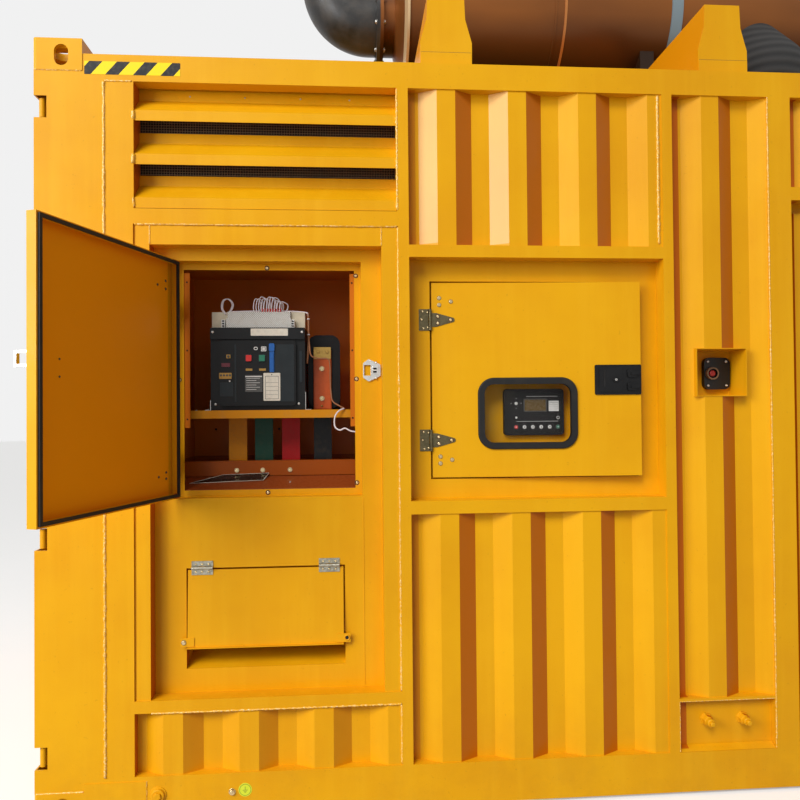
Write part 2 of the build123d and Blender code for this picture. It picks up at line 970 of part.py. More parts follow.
def swing_breaker(shape):
    """Turn a piece of the closed breaker door to where it stands open."""
    pivot = Pos(left_end + breaker_pivot_e, near_side + breaker_pivot_v, 0)
    return pivot * Rot(0, 0, -breaker_open_angle) * pivot.inverse() * shape


def breaker_door_box(margin, v0, v1):
    """Block of the closed breaker door, smaller by a margin all round."""
    cut = door_gap + margin
    return breaker_opening(-cut, v0, v1)


def breaker_door():
    """Pan with folded sides and an inner lip."""
    back = back_plane + breaker_door_depth
    pan = breaker_door_box(0, back_plane, back)
    pan -= breaker_door_box(door_sheet, back_plane + door_sheet, back - door_sheet)
    pan -= breaker_door_box(breaker_door_lip, back_plane + door_sheet, back + 1)
    return swing_breaker(pan + latch_strike())


def breaker_gasket():
    back = back_plane + breaker_door_depth
    ring = breaker_door_box(gasket_inset, back, back + gasket_height)
    ring -= breaker_door_box(gasket_inset + gasket_width, back - 1, back + gasket_height + 1)
    return swing_breaker(ring)


def latch_strike():
    """U-shaped catch on the outer face, beside the free edge."""
    free_edge = breaker_opening_left + breaker_opening_width - door_gap
    right = free_edge - strike_from_edge
    low = keeper_rise - strike_height / 2
    top = keeper_rise + strike_height / 2
    catch = side_box(right - strike_width, right, back_plane - strike_proud, back_plane, low, top)
    inside = back_plane - strike_proud + strike_bar
    catch -= side_box(right - strike_width - 1, right + 1, inside, back_plane + 1,
                      low + strike_bar, top - strike_bar)
    return catch


def knuckles(low, count, run, moving):
    """Lengths of barrel that belong to one half of a hinge, as (start, end) pairs."""
    step = run / count
    pairs = []
    for i in range(count):
        if (i % 2 == 1) == moving:
            pairs.append((low + step * i + knuckle_gap / 2, low + step * (i + 1) - knuckle_gap / 2))
    return pairs


def upright_hinge(pivot_e, pivot_v, low, run, leaf, moving, outline=None):
    """Half of an upright hinge. The fixed half carries the pin and lies to the left of it."""
    leaf_v0 = pivot_v + barrel_radius - 1.0
    sign = 1 if moving else -1
    reach = pivot_e + sign * leaf
    if outline is None:
        left = min(pivot_e, reach)
        body = side_box(left, left + leaf, leaf_v0, leaf_v0 + leaf_sheet, low, low + run)
    else:
        body = face_extrusion(outline, leaf_v0, leaf_v0 + leaf_sheet)
    clear = barrel_radius + knuckle_gap
    for start, end in knuckles(low, 3, run, not moving):
        body -= upright_cylinder(clear, pivot_e, pivot_v, start - knuckle_gap, end + knuckle_gap)
        body -= side_box(pivot_e - clear, pivot_e + clear, pivot_v, leaf_v0 + leaf_sheet + 1,
                         start - knuckle_gap, end + knuckle_gap)
    for start, end in knuckles(low, 3, run, moving):
        body += upright_cylinder(barrel_radius, pivot_e, pivot_v, start, end)
    if moving:
        body -= upright_cylinder(pin_radius + pin_clearance, pivot_e, pivot_v, low - 1, low + run + 1)
    else:
        body += upright_cylinder(pin_radius, pivot_e, pivot_v, low + knuckle_gap, low + run - knuckle_gap)
    return body


def butt_hinge_lows():
    top = breaker_opening_low + breaker_opening_height
    return [breaker_opening_low + butt_hinge_inset, top - butt_hinge_inset - butt_hinge_length]


def breaker_hinges(moving):
    pieces = []
    for low in butt_hinge_lows():
        half = upright_hinge(
            breaker_pivot_e, breaker_pivot_v, low, butt_hinge_length, butt_hinge_leaf, moving)
        pieces.append(swing_breaker(half) if moving else half)
    return pieces


flap_pivot_v = back_plane - leaf_sheet - barrel_radius + 1.0
flap_pivot_z = outlet_low + outlet_height + 1.0


def swing_flap(shape):
    """Turn a piece of the closed flap to where it hangs, a little ajar."""
    pivot = Pos(0, near_side + flap_pivot_v, flap_pivot_z)
    return pivot * Rot(-flap_ajar, 0, 0) * pivot.inverse() * shape


def cable_flap():
    """Flap with folded sides, a bottom lip and two bolting ears."""
    e0 = outlet_left + flap_gap
    e1 = outlet_left + outlet_width - flap_gap
    top = outlet_low + outlet_height - flap_gap
    low = top - flap_height
    flap = side_box(e0, e1, back_plane, back_plane + flap_side_fold, low, top)
    flap -= side_box(e0 + flap_sheet, e1 - flap_sheet, back_plane + flap_sheet, 2 * back_plane,
                     low + flap_sheet, top + 1)
    lip = side_box(e0, e1, back_plane - flap_lip, back_plane, low, low + flap_sheet)
    flap += lip
    for outer, inner in ((e0 - ear_length, e0 + ear_length), (e1 - ear_length, e1 + ear_length)):
        flap += side_box(outer, inner, back_plane - flap_sheet, back_plane, low + 2 * flap_sheet,
                         low + 2 * flap_sheet + ear_height)
    return swing_flap(flap)


def flap_hinge_lows():
    inset = flap_hinge_inset
    return [outlet_left + inset, outlet_left + outlet_width - inset - flap_hinge_length]


def flap_hinges(moving):
    """Butt hinges with a level pin; the fixed leaf lies above it."""
    pieces = []
    leaf_v0 = flap_pivot_v + barrel_radius - 1.0
    leaf_v1 = leaf_v0 + leaf_sheet
    clear = barrel_radius + knuckle_gap
    z0 = flap_pivot_z - flap_hinge_leaf if moving else flap_pivot_z
    for low in flap_hinge_lows():
        high = low + flap_hinge_length
        half = side_box(low, high, leaf_v0, leaf_v1, z0, z0 + flap_hinge_leaf)
        for start, end in knuckles(low, 3, flap_hinge_length, not moving):
            half -= side_box(start - knuckle_gap, end + knuckle_gap, flap_pivot_v - clear, leaf_v1 + 1,
                             flap_pivot_z - clear, flap_pivot_z + clear)
        for start, end in knuckles(low, 3, flap_hinge_length, moving):
            half += level_cylinder(barrel_radius, flap_pivot_v, flap_pivot_z, start, end)
        if moving:
            bore = pin_radius + pin_clearance
            half -= level_cylinder(bore, flap_pivot_v, flap_pivot_z, low - 1, high + 1)
            half = swing_flap(half)
        else:
            half += level_cylinder(
                pin_radius, flap_pivot_v, flap_pivot_z, low + knuckle_gap, high - knuckle_gap)
        pieces.append(half)
    return pieces


def cable_chute():
    """Chute behind the outlet, open at the front, with a sloping floor."""
    top = outlet_low + outlet_height
    front = back_plane + panel_sheet
    outer = [
        (front, outlet_low - chute_sheet),
        (front, top + chute_sheet),
        (front + chute_depth, top + chute_sheet),
        (front + chute_depth, outlet_low + chute_drop),
    ]
    inner = [
        (front - 1, outlet_low),
        (front - 1, top),
        (front + chute_depth - chute_sheet, top),
        (front + chute_depth - chute_sheet, outlet_low + chute_drop + chute_sheet),
    ]
    right = outlet_left + outlet_width
    body = along_extrusion(face_of(outer), outlet_left - chute_sheet, right + chute_sheet)
    return body - along_extrusion(face_of(inner), outlet_left, right)


def control_opening(margin, v0, v1):
    return side_box(
        control_opening_left - margin, control_opening_left + control_opening_width + margin, v0, v1,
        control_opening_low - margin, control_opening_low + control_opening_height + margin)


controller_plane = back_plane + control_panel_set


def control_frame():
    """Back of the control recess: the door's opening, its rebate and the controller's box."""
    panel = side_box(
        post_2_right - panel_lap, post_3_left + panel_lap, back_plane, back_plane + panel_sheet,
        control_sill_top - panel_lap, control_head_low + panel_lap)
    panel -= control_opening(0, 0, 2 * back_plane)
    rebate_back = back_plane + control_door_depth + door_gap
    rebate = control_opening(panel_sheet, back_plane + panel_sheet, rebate_back + panel_sheet)
    rebate -= control_opening(0, back_plane, rebate_back)
    box_front = rebate_back + panel_sheet
    box_inside = control_box_sheet - rebate_width
    box = control_opening(box_inside, box_front, controller_plane + control_box_sheet)
    frame = panel + rebate + box
    return frame - control_opening(-rebate_width, back_plane, controller_plane)


def controller():
    """Moulded controller with rounded corners."""
    centre_e = controller_left + controller_width / 2
    centre_z = controller_low + controller_height / 2
    outline = RectangleRounded(controller_width, controller_height, controller_round)
    front = controller_plane - controller_depth
    return face_extrusion(Pos(centre_e, centre_z) * outline, front, controller_plane)


control_pivot_e = control_opening_left + 1.0
control_pivot_v = back_plane - leaf_sheet - barrel_radius + 1.0


def swing_control(shape):
    """Turn a piece of the closed control door to where it stands, a little ajar."""
    pivot = Pos(left_end + control_pivot_e, near_side + control_pivot_v, 0)
    return pivot * Rot(0, 0, -control_ajar) * pivot.inverse() * shape


def window_outline(margin):
    centre = (window_left + window_width / 2, window_low + window_height / 2)
    return Pos(*centre) * RectangleRounded(
        window_width - 2 * margin, window_height - 2 * margin, window_round - margin)


def control_door():
    """Pan with folded sides and the window cut-out."""
    back = back_plane + control_door_depth
    pan = control_opening(-door_gap, back_plane, back)
    pan -= control_opening(-door_gap - door_sheet, back_plane + door_sheet, back + 1)
    pan -= face_extrusion(window_outline(seal_width / 2), back_plane - 1, back_plane + door_sheet + 1)
    return swing_control(pan)


def window_seal():
    """Rubber round the window: a lip over the sheet, a spigot through it, a seat for the glass."""
    lip = face_extrusion(window_outline(0), back_plane - seal_proud, back_plane)
    lip = fillet(lip.faces().sort_by(Axis.Y)[0].edges(), seal_proud * 0.6)
    spigot_back = back_plane + door_sheet + seal_spigot
    spigot = face_extrusion(window_outline(seal_width / 2), back_plane, spigot_back)
    body = lip + spigot
    body -= face_extrusion(window_outline(seal_width), 0, 2 * back_plane)
    seat = back_plane + door_sheet
    body -= face_extrusion(window_outline(seal_width - seal_groove), seat, seat + glass_sheet)
    return swing_control(body)


def window_glass():
    seat = back_plane + door_sheet
    return swing_control(face_extrusion(window_outline(seal_width - seal_groove), seat, seat + glass_sheet))


def paddle_latch():
    """Latch plate with its paddle and lock cylinder."""
    centre_z = latch_low + latch_height / 2
    plate = face_extrusion(
        Pos(latch_left + latch_width / 2, centre_z)
        * RectangleRounded(latch_width, latch_height, latch_round),
        back_plane - latch_sheet, back_plane)
    paddle_e = latch_left + latch_width * 0.34
    front = back_plane - latch_sheet - paddle_proud
    plate += face_extrusion(
        Pos(paddle_e, centre_z) * RectangleRounded(paddle_width, paddle_height, latch_round),
        front, back_plane - latch_sheet)
    plate += cylinder_inwards(lock_radius, latch_left + latch_width * 0.45, centre_z, front - 2, front)
    return swing_control(plate)


def strap_outline(pivot_e, rise):
    """Tapered strap with a rounded tip."""
    half = strap_root / 2
    tip_e = pivot_e + strap_length - strap_tip
    taper = face_of([
        (pivot_e, rise - half), (pivot_e + strap_straight, rise - half), (tip_e, rise - strap_tip),
        (tip_e, rise + strap_tip), (pivot_e + strap_straight, rise + half), (pivot_e, rise + half)])
    return taper + Pos(tip_e, rise) * Circle(strap_tip)


def control_hinges(moving):
    pieces = []
    for rise in strap_hinge_rises:
        low = rise - strap_hinge_height / 2
        outline = strap_outline(control_pivot_e, rise) if moving else None
        half = upright_hinge(
            control_pivot_e, control_pivot_v, low, strap_hinge_height, strap_hinge_leaf, moving, outline)
        pieces.append(swing_control(half) if moving else half)
    return pieces


stop_back = wave_set - stop_sheet + stop_depth - stop_sheet


def stop_housing():
    """Moulded housing on the recess's back wall, with the collar and the stop button."""
    centre_e = stop_left + stop_sheet + guard_left_gap + guard_width / 2
    centre_z = stop_low + stop_height / 2
    body = face_extrusion(
        Pos(centre_e, centre_z) * RectangleRounded(guard_width, guard_height, guard_round),
        stop_back - guard_depth, stop_back)
    button_e = centre_e - button_shift
    front = stop_back - guard_depth
    body += cylinder_inwards(button_collar_radius, button_e, centre_z, front - button_collar_depth, front)
    body -= cylinder_inwards(button_collar_radius - button_collar_wall, button_e, centre_z,
                             front - button_collar_depth - 1, front)
    return body + cylinder_inwards(button_radius, button_e, centre_z, front - button_proud, front)


def port_plate():
    """Recessed plate at the foot of the stop button bay, a flat bar above it and two drain fittings."""
    cap = side_box(post_3_right, post_4_left, frame_set, back_plane, port_top - port_frame, port_top)
    plate_v = frame_set + port_set
    plate = side_box(post_3_right, post_4_left, plate_v, plate_v + panel_sheet, bottom_rail_top,
                     port_top - port_frame)
    body = cap + plate
    for left in fitting_lefts:
        front = plate_v - fitting_length
        body += cylinder_inwards(fitting_radius, left, fitting_rise, front, plate_v)
        body += cylinder_inwards(fitting_cap_radius, left, fitting_rise, front, front + fitting_cap_length)
    return body


def service_door():
    """Plain service door, closed, on the back of its recess."""
    back = side_box(post_4_right - panel_lap, post_5_left + panel_lap, back_plane, back_plane + panel_sheet,
                    bottom_rail_top, service_head_low + panel_lap)
    e0 = post_4_right + service_frame
    e1 = post_5_left - service_frame
    z0 = bottom_rail_top + service_frame
    z1 = service_head_low - service_frame
    front = back_plane - service_leaf_proud
    leaf = side_box(e0, e1, front, back_plane, z0, z1)
    cut = door_sheet
    leaf -= side_box(e0 + cut, e1 - cut, front + cut, back_plane + 1, z0 + cut, z1 - cut)
    return back + leaf


def cargo_leaf():
    """Cargo door leaf: a frame of bars round a sheet with level corrugations."""
    v0 = post_end + cargo_door_gap
    v1 = width / 2 - cargo_door_gap / 2
    z0 = bottom_rail_top + cargo_door_gap
    z1 = top_rail_low - cargo_door_gap
    e0 = cargo_door_set
    e1 = cargo_door_set + cargo_door_depth
    leaf = side_box(e0, e1, v0, v1, z0, z1)
    leaf -= side_box(e0 - 1, e1 + 1, v0 + cargo_bar, v1 - cargo_bar, z0 + cargo_bar, z1 - cargo_bar)
    line = wave_points(z0 + cargo_bar, z1 - cargo_bar, cargo_wave_first, crest_flat, wave_slope,
                       trough_flat, wave_depth)
    front = [(e0 + depth, z) for z, depth in line]
    back = [(e + side_sheet, z) for e, z in reversed(front)]
    leaf += face_extrusion(face_of(front + back), v0 + cargo_bar, v1 - cargo_bar)
    for shift in lock_rod_shifts:
        for rise in rod_bracket_places:
            leaf += rod_bracket(shift, rise)
    return leaf


def rod_bracket(shift, rise):
    """Block on the leaf that the lock rod turns in."""
    v = post_end + cargo_door_gap + shift
    top = rise + rod_bracket_height
    half = rod_bracket_width / 2
    block = side_box(lock_rod_set, cargo_door_set, v - half, v + half, rise, top)
    return block - upright_cylinder(lock_rod_radius + pin_clearance, lock_rod_set, v, rise - 1, top + 1)


def cargo_rods():
    """Upright lock rods, two to each leaf, with their handles folded flat."""
    pieces = []
    for shift in lock_rod_shifts:
        v = post_end + cargo_door_gap + shift
        rod = upright_cylinder(lock_rod_radius, lock_rod_set, v, bottom_rail_top, top_rail_low)
        reach = min(v + lock_handle_length, width / 2 - cargo_bar)
        rod += side_box(lock_rod_set - lock_handle_sheet / 2, lock_rod_set + lock_handle_sheet / 2, v, reach,
                        lock_handle_rise, lock_handle_rise + lock_handle_height)
        pieces.append(rod)
    return both_sides(pieces)


def cargo_hinges():
    """Hinge blades with their pins in the notches of the corner posts."""
    pieces = []
    for centre in notch_centres():
        z0 = centre - cargo_hinge_height / 2
        z1 = centre + cargo_hinge_height / 2
        pin_e = frame_set + notch_length / 2
        pin_v = frame_set + notch_length / 2
        blade = side_box(cargo_door_set - cargo_hinge_sheet, cargo_door_set, pin_v,
                         post_end + cargo_hinge_blade, z0, z1)
        pieces.append(blade + upright_cylinder(cargo_pin_radius, pin_e, pin_v, z0, z1))
    return both_sides(pieces)


def radiator_louvre():
    """Blades across the whole end between two stiles, with a mullion behind them."""
    z0 = bottom_rail_top
    z1 = top_rail_low
    e1 = length - frame_set
    stile = side_box(e1 - end_stile_depth, e1, post_end, post_end + end_stile_width, z0, z1)
    back = e1 - end_stile_depth
    half = mullion_width / 2
    mullion = side_box(back - end_stile_depth, back, width / 2 - half, width / 2 + half, z0, z1)
    body = stile + far(stile) + mullion
    for top in blade_tops(bottom_rail_top, top_rail_low):
        section = blade_section(top, 0, end_stile_depth - blade_sheet)
        plane = Plane((length / 2 - frame_set, near_side, 0), x_dir=(-1, 0, 0), z_dir=(0, 1, 0))
        v0 = post_end + end_stile_width
        blade = extrude(plane * section, width - 2 * v0, dir=(0, 1, 0))
        body += Pos(0, v0, 0) * blade
    return body


def saddle_plate_section(left):
    """Outline of a saddle's end plate: a broad foot that tapers to a narrower top."""
    centre = left + saddle_base_width / 2
    half_base = saddle_base_width / 2
    half_top = saddle_top_width / 2
    foot = top_rail_top + saddle_foot_height
    half_outline = [
        (half_base, foot), (half_base, foot + saddle_knee), (half_top + 4, foot + saddle_shoulder),
        (half_top, saddle_top),
    ]
    right = [(centre + x, z) for x, z in half_outline]
    mirrored = [(centre - x, z) for x, z in reversed(half_outline)]
    return face_of(right + mirrored)


def saddles():
    """Beams across the roof with the pads that carry the silencer."""
    pieces = []
    foot_top = top_rail_top + saddle_foot_height
    v0 = saddle_plate_set
    v1 = width - saddle_plate_set
    for left in saddle_lefts:
        right = left + saddle_base_width
        beam = side_box(left, right, v0, v1, top_rail_top, foot_top)
        beam -= side_box(left + tube_wall, right - tube_wall, v0 - 1, v1 + 1, top_rail_top + tube_wall,
                         foot_top - tube_wall)
        centre = (left + right) / 2
        web_left = centre - saddle_top_width / 2
        for e0 in (web_left, centre + saddle_top_width / 2 - saddle_web_sheet):
            beam += side_box(e0, e0 + saddle_web_sheet, v0, v1, foot_top, saddle_top)
        section = saddle_plate_section(left)
        beam += face_extrusion(section, v0, v0 + saddle_plate_sheet)
        beam += face_extrusion(section, v1 - saddle_plate_sheet, v1)
        pieces.append(beam + silencer_cradle(left))
    return pieces


def silencer_cradle(left):
    """Curved pad between a saddle and the silencer."""
    centre = left + saddle_base_width / 2
    half = cradle_width / 2
    reach = silencer_radius * cradle_reach
    pad_top = silencer_rise - silencer_radius * cradle_top
    v0 = silencer_set - reach
    v1 = silencer_set + reach
    e0 = centre - half
    e1 = centre + half
    block = side_box(e0, e1, v0, v1, saddle_top, pad_top)
    block -= level_cylinder(silencer_radius, silencer_set, silencer_rise, e0 - 1, e1 + 1)
    plate_half = saddle_top_width / 2
    plate_top = saddle_top + cradle_sheet
    return block + side_box(centre - plate_half, centre + plate_half, v0, v1, saddle_top, plate_top)


neck_left = silencer_left - cone_length - neck_length
flange_left = neck_left - 2 * pipe_flange_sheet
bend_start = flange_left - collar_length


def silencer():
    """Silencer with end rims, seams, a band and the flanged neck, turned about its axis."""
    body = silencer_radius
    bore = neck_radius - elbow_wall
    outline = [
        (neck_left - pipe_flange_sheet, bore),
        (neck_left - pipe_flange_sheet, pipe_flange_radius),
        (neck_left, pipe_flange_radius),
        (neck_left, neck_radius),
        (silencer_left - cone_length, neck_radius),
        (silencer_left, body - rim_width),
        (silencer_left, body + rim_proud),
        (silencer_left + rim_width, body + rim_proud),
        (silencer_left + rim_width, body),
    ]
    raised = [(seam, seam_width, seam_proud) for seam in seam_lefts] + [(band_left, band_width, band_proud)]
    for left, wide, proud in raised:
        outline += [(left, body), (left, body + proud), (left + wide, body + proud), (left + wide, body)]
    outline += [
        (silencer_right - rim_width, body),
        (silencer_right - rim_width, body + rim_proud),
        (silencer_right, body + rim_proud),
        (silencer_right, body - rim_width),
        (silencer_right - end_recess, body - rim_width),
        (silencer_right - end_recess, 0),
        (silencer_left - cone_length, 0),
        (silencer_left - cone_length, bore),
    ]
    plane = Plane((left_end, near_side + silencer_set, silencer_rise), x_dir=(1, 0, 0), z_dir=(0, -1, 0))
    return revolve(plane * face_of(outline), Axis(plane.origin, (1, 0, 0)), 360)


def outlet_elbow():
    """Outlet bend that turns upwards, with its flange, a collar and a plain straight end."""
    bore = neck_radius - elbow_wall
    start = Vector(left_end + bend_start, near_side + silencer_set, silencer_rise)
    ring = Circle(neck_radius) - Circle(bore)
    axis = Axis(start + Vector(0, 0, elbow_radius), (0, 1, 0))
    bend = revolve(Plane(start, x_dir=(0, 1, 0), z_dir=(-1, 0, 0)) * ring, axis, 90)
    tail_start = start + Vector(-elbow_radius, 0, elbow_radius)
    tail = extrude(Plane(tail_start) * ring, outlet_straight)
    collar = level_cylinder(neck_radius, silencer_set, silencer_rise, bend_start, flange_left)
    collar += level_cylinder(pipe_flange_radius, silencer_set, silencer_rise, flange_left,
                             flange_left + pipe_flange_sheet)
    collar -= level_cylinder(bore, silencer_set, silencer_rise, bend_start - 1, neck_left)
    return bend + tail + collar


def inlet_pipe():
    """Wrapped inlet pipe that comes up out of the roof and leans into the silencer."""
    low = top_rail_top - roof_drop
    column = upright_cylinder(inlet_radius, inlet_left, inlet_set, low, inlet_column_top)
    collar = upright_cylinder(inlet_radius + inlet_collar, inlet_left, inlet_set, low, low + inlet_collar)
    bend_foot = Vector(left_end + inlet_left, near_side + inlet_set, inlet_column_top)
    axis = Axis(bend_foot + Vector(0, inlet_bend_radius, 0), (-1, 0, 0))
    bend = revolve(Plane(bend_foot) * Circle(inlet_radius), axis, inlet_turn)
    turn = radians(inlet_turn)
    heading = Vector(0, sin(turn), cos(turn))
    knee = bend_foot + Vector(0, inlet_bend_radius * (1 - cos(turn)), inlet_bend_radius * sin(turn))
    lean = extrude(Plane(knee, x_dir=(1, 0, 0), z_dir=heading) * Circle(inlet_radius), inlet_straight)
    pipe = column + collar + bend + lean
    return pipe - level_cylinder(silencer_radius, silencer_set, silencer_rise, inlet_left - 2 * inlet_radius,
                                 inlet_left + 2 * inlet_radius)


def solids_of(pieces):
    """One compound of the solids in a piece or a list of pieces."""
    if not isinstance(pieces, (list, tuple)):
        pieces = [pieces]
    found = []
    for piece in pieces:
        found.extend(piece.solids())
    return found[0] if len(found) == 1 else Compound(children=found)


def fixed_hinge_halves():
    return breaker_hinges(False) + flap_hinges(False) + control_hinges(False)


nodes = {
    "corner_castings": lower_castings() + upper_castings(),
    "corner_posts": both_sides([cargo_end_post(), other_end(corner_post())]),
    "top_rails": both_sides([top_rail()]) + end_rails(top_rail_low, top_rail_top),
    "bottom_rails": both_sides([bottom_rail()]) + end_rails(bottom_rail_low, bottom_rail_top),
    "floor_plate": floor_plate(),
    "floor_cross_members": cross_members(),
    "roof_sheet": roof(),
    "side_posts": both_sides(side_posts()),
    "side_bars": side_bars(),
    "side_sheets": near_sheets() + far_sheets(),
    "stop_bay_sheet": stop_bay_sheet(),
    "side_louvres": both_sides([side_louvre()]),
    "louvre_mesh": both_sides([louvre_mesh()]),
    "radiator_louvre": radiator_louvre(),
    "cabinet_surround": cabinet_surround(),
    "cabinet_back_panel": cabinet_back_panel(),
    "breaker_enclosure": breaker_enclosure(),
    "breaker_shelf": breaker_shelf(),
    "circuit_breaker": circuit_breaker(),
    "busbars": [busbar(left, shelf_top) for left in busbar_lefts] + [busbar(neutral_left, neutral_bar_top)],
    "neutral_transformer": neutral_transformer(),
    "latch_keeper": latch_keeper(),
    "breaker_door": breaker_door(),
    "breaker_door_gasket": breaker_gasket(),
    "fixed_hinge_halves": fixed_hinge_halves(),
    "breaker_door_hinges": breaker_hinges(True),
    "cable_flap": cable_flap(),
    "cable_flap_hinges": flap_hinges(True),
    "control_frame": control_frame(),
    "controller": controller(),
    "control_door": control_door(),
    "window_seal": window_seal(),
    "window_glass": window_glass(),
    "paddle_latch": paddle_latch(),
    "control_door_hinges": control_hinges(True),
    "stop_housing": stop_housing(),
    "port_plate": port_plate(),
    "service_doors": both_sides([service_door()]),
    "cargo_doors": both_sides([cargo_leaf()]),
    "cargo_lock_rods": cargo_rods(),
    "cargo_hinges": cargo_hinges(),
    "silencer_saddles": saddles(),
    "silencer": silencer(),
    "outlet_elbow": outlet_elbow(),
    "inlet_pipe": inlet_pipe(),
}

os.makedirs("parts", exist_ok=True)
for name, pieces in nodes.items():
    export_step(solids_of(pieces), f"parts/{name}.step")
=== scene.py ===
"""Paint, fittings and stage for a containerized diesel generator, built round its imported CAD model.

Places on the long side are given in millimetres: e along the side from the cable end, v inwards
from the outer faces of the corner castings, and z upwards from the ground.
"""
import json
import math
import random

import bmesh
import bpy
from mathutils import Matrix, Vector


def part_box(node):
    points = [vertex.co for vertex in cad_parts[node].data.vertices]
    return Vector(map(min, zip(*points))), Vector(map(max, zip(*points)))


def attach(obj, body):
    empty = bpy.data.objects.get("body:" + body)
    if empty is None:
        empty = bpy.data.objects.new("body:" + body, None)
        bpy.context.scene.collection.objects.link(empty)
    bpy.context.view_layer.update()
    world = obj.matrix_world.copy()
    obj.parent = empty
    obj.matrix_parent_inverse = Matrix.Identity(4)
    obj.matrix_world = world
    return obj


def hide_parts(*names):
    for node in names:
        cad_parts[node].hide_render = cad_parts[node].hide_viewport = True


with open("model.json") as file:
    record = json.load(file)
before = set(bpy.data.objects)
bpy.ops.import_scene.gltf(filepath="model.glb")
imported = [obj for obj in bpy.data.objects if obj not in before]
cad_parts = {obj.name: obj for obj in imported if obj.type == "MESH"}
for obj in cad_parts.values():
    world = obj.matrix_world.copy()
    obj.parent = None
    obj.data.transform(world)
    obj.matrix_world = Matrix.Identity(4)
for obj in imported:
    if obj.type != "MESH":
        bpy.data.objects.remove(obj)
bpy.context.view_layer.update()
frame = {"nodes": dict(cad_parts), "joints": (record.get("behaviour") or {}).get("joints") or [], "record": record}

bl_info = {
    "name": "Containerized generator",
    "version": (1, 0, 0),
    "blender": (4, 5, 0),
    "location": "View3D > Sidebar > Generator",
    "description": "Paint, fittings and stage for a containerized diesel generator",
    "category": "Object",
}

MM = 0.001
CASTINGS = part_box("corner_castings")
CORNER = Vector((CASTINGS[0].x, CASTINGS[0].y, 0.0))
LENGTH = (CASTINGS[1].x - CASTINGS[0].x) / MM
WIDTH = (CASTINGS[1].y - CASTINGS[0].y) / MM

# Planes of the near side: the breaker opening's flange, the doors' outer faces and their hinge leaves
FLANGE_PLANE = 119.5
DOOR_PLANE = 73
LEAF_PLANE = 70.5

# Feet of the breaker door's hinges, middles of the control door's and left edges of the flap's
BREAKER_HINGES = (1296, 1877)
CONTROL_HINGES = (1388, 1860)
FLAP_HINGES = (553, 1035)

# Screws up a leaf of the breaker door's hinge, and along a leaf of the flap's
BREAKER_LEAF_SCREWS = (16, 45, 74)
FLAP_LEAF_SCREWS = (16, 40, 64)

# Middles of the stop button and of the earth sign's label, as (e, z) pairs
STOP_BUTTON = (2636.5, 1646)
EARTH_SIGN = (760, 101)

# Rays that see the stage as the camera does, straight on, in a reflection or through the pane
SEEN_RAYS = ("Is Camera Ray", "Is Glossy Ray", "Is Transmission Ray")

# Left edges and width of the silencer's saddles
SADDLES = (1441, 2556)
SADDLE_WIDTH = 203

CONTAINER = "container"
BREAKER_DOOR = "breaker_door"
FLAP = "cable_flap"
CONTROL_DOOR = "control_door"
STANDS_OPEN = {BREAKER_DOOR: 109.0, FLAP: 3.2, CONTROL_DOOR: 3.0}


def at(e, v, z):
    """Point of the model's frame, in metres, from a place on the near side in millimetres."""
    return CORNER + Vector((e, v, z)) * MM


def side_x(e):
    """Place along the model's x, in metres, from a place along the side in millimetres."""
    return at(e, 0, 0).x


def placed(name, data):
    """Object of the data, linked to the scene."""
    made = bpy.data.objects.new(name, data)
    bpy.context.collection.objects.link(made)
    return made


def closed_to_rest(body):
    """Turn that takes a piece of a closed door to where the door stands at rest."""
    if body not in STANDS_OPEN:
        return Matrix.Identity(4)
    joint = next(j for j in frame["joints"] if j["child"] == body)
    pivot = Matrix.Translation(Vector(joint["pos_m"]))
    turn = Matrix.Rotation(math.radians(STANDS_OPEN[body]), 4, Vector(joint["axis"]))
    return pivot @ turn @ pivot.inverted()


# Shader expressions

class Field:
    """Number, colour or vector that changes over a surface."""

    def __init__(self, paint, socket):
        self.paint = paint
        self.socket = socket

    def math(self, operation, *others):
        """Result of a maths node with this field as its first value."""
        return self.paint.node("Math", {"operation": operation}, (self, *others))

    def __add__(self, other):
        return self.math("ADD", other)

    def __sub__(self, other):
        return self.math("SUBTRACT", other)

    def __rsub__(self, other):
        return self.paint.node("Math", {"operation": "SUBTRACT"}, (other, self))

    def __mul__(self, other):
        return self.math("MULTIPLY", other)

    def __truediv__(self, other):
        return self.math("DIVIDE", other)

    def __pow__(self, other):
        return self.math("POWER", other)

    def above(self, other):
        return self.math("GREATER_THAN", other)

    def below(self, other):
        return self.math("LESS_THAN", other)

    def most(self, other):
        return self.math("MAXIMUM", other)

    def wave(self):
        return self.math("SINE")

    def span(self, low, high, start=0.0, end=1.0):
        """Move the values from low..high to start..end, held at the ends."""
        return self.paint.node("MapRange", {"clamp": True}, (self, low, high, start, end))

    def part(self, index):
        """One coordinate of a vector."""
        return self.paint.node("SeparateXYZ", {}, (self,), index)


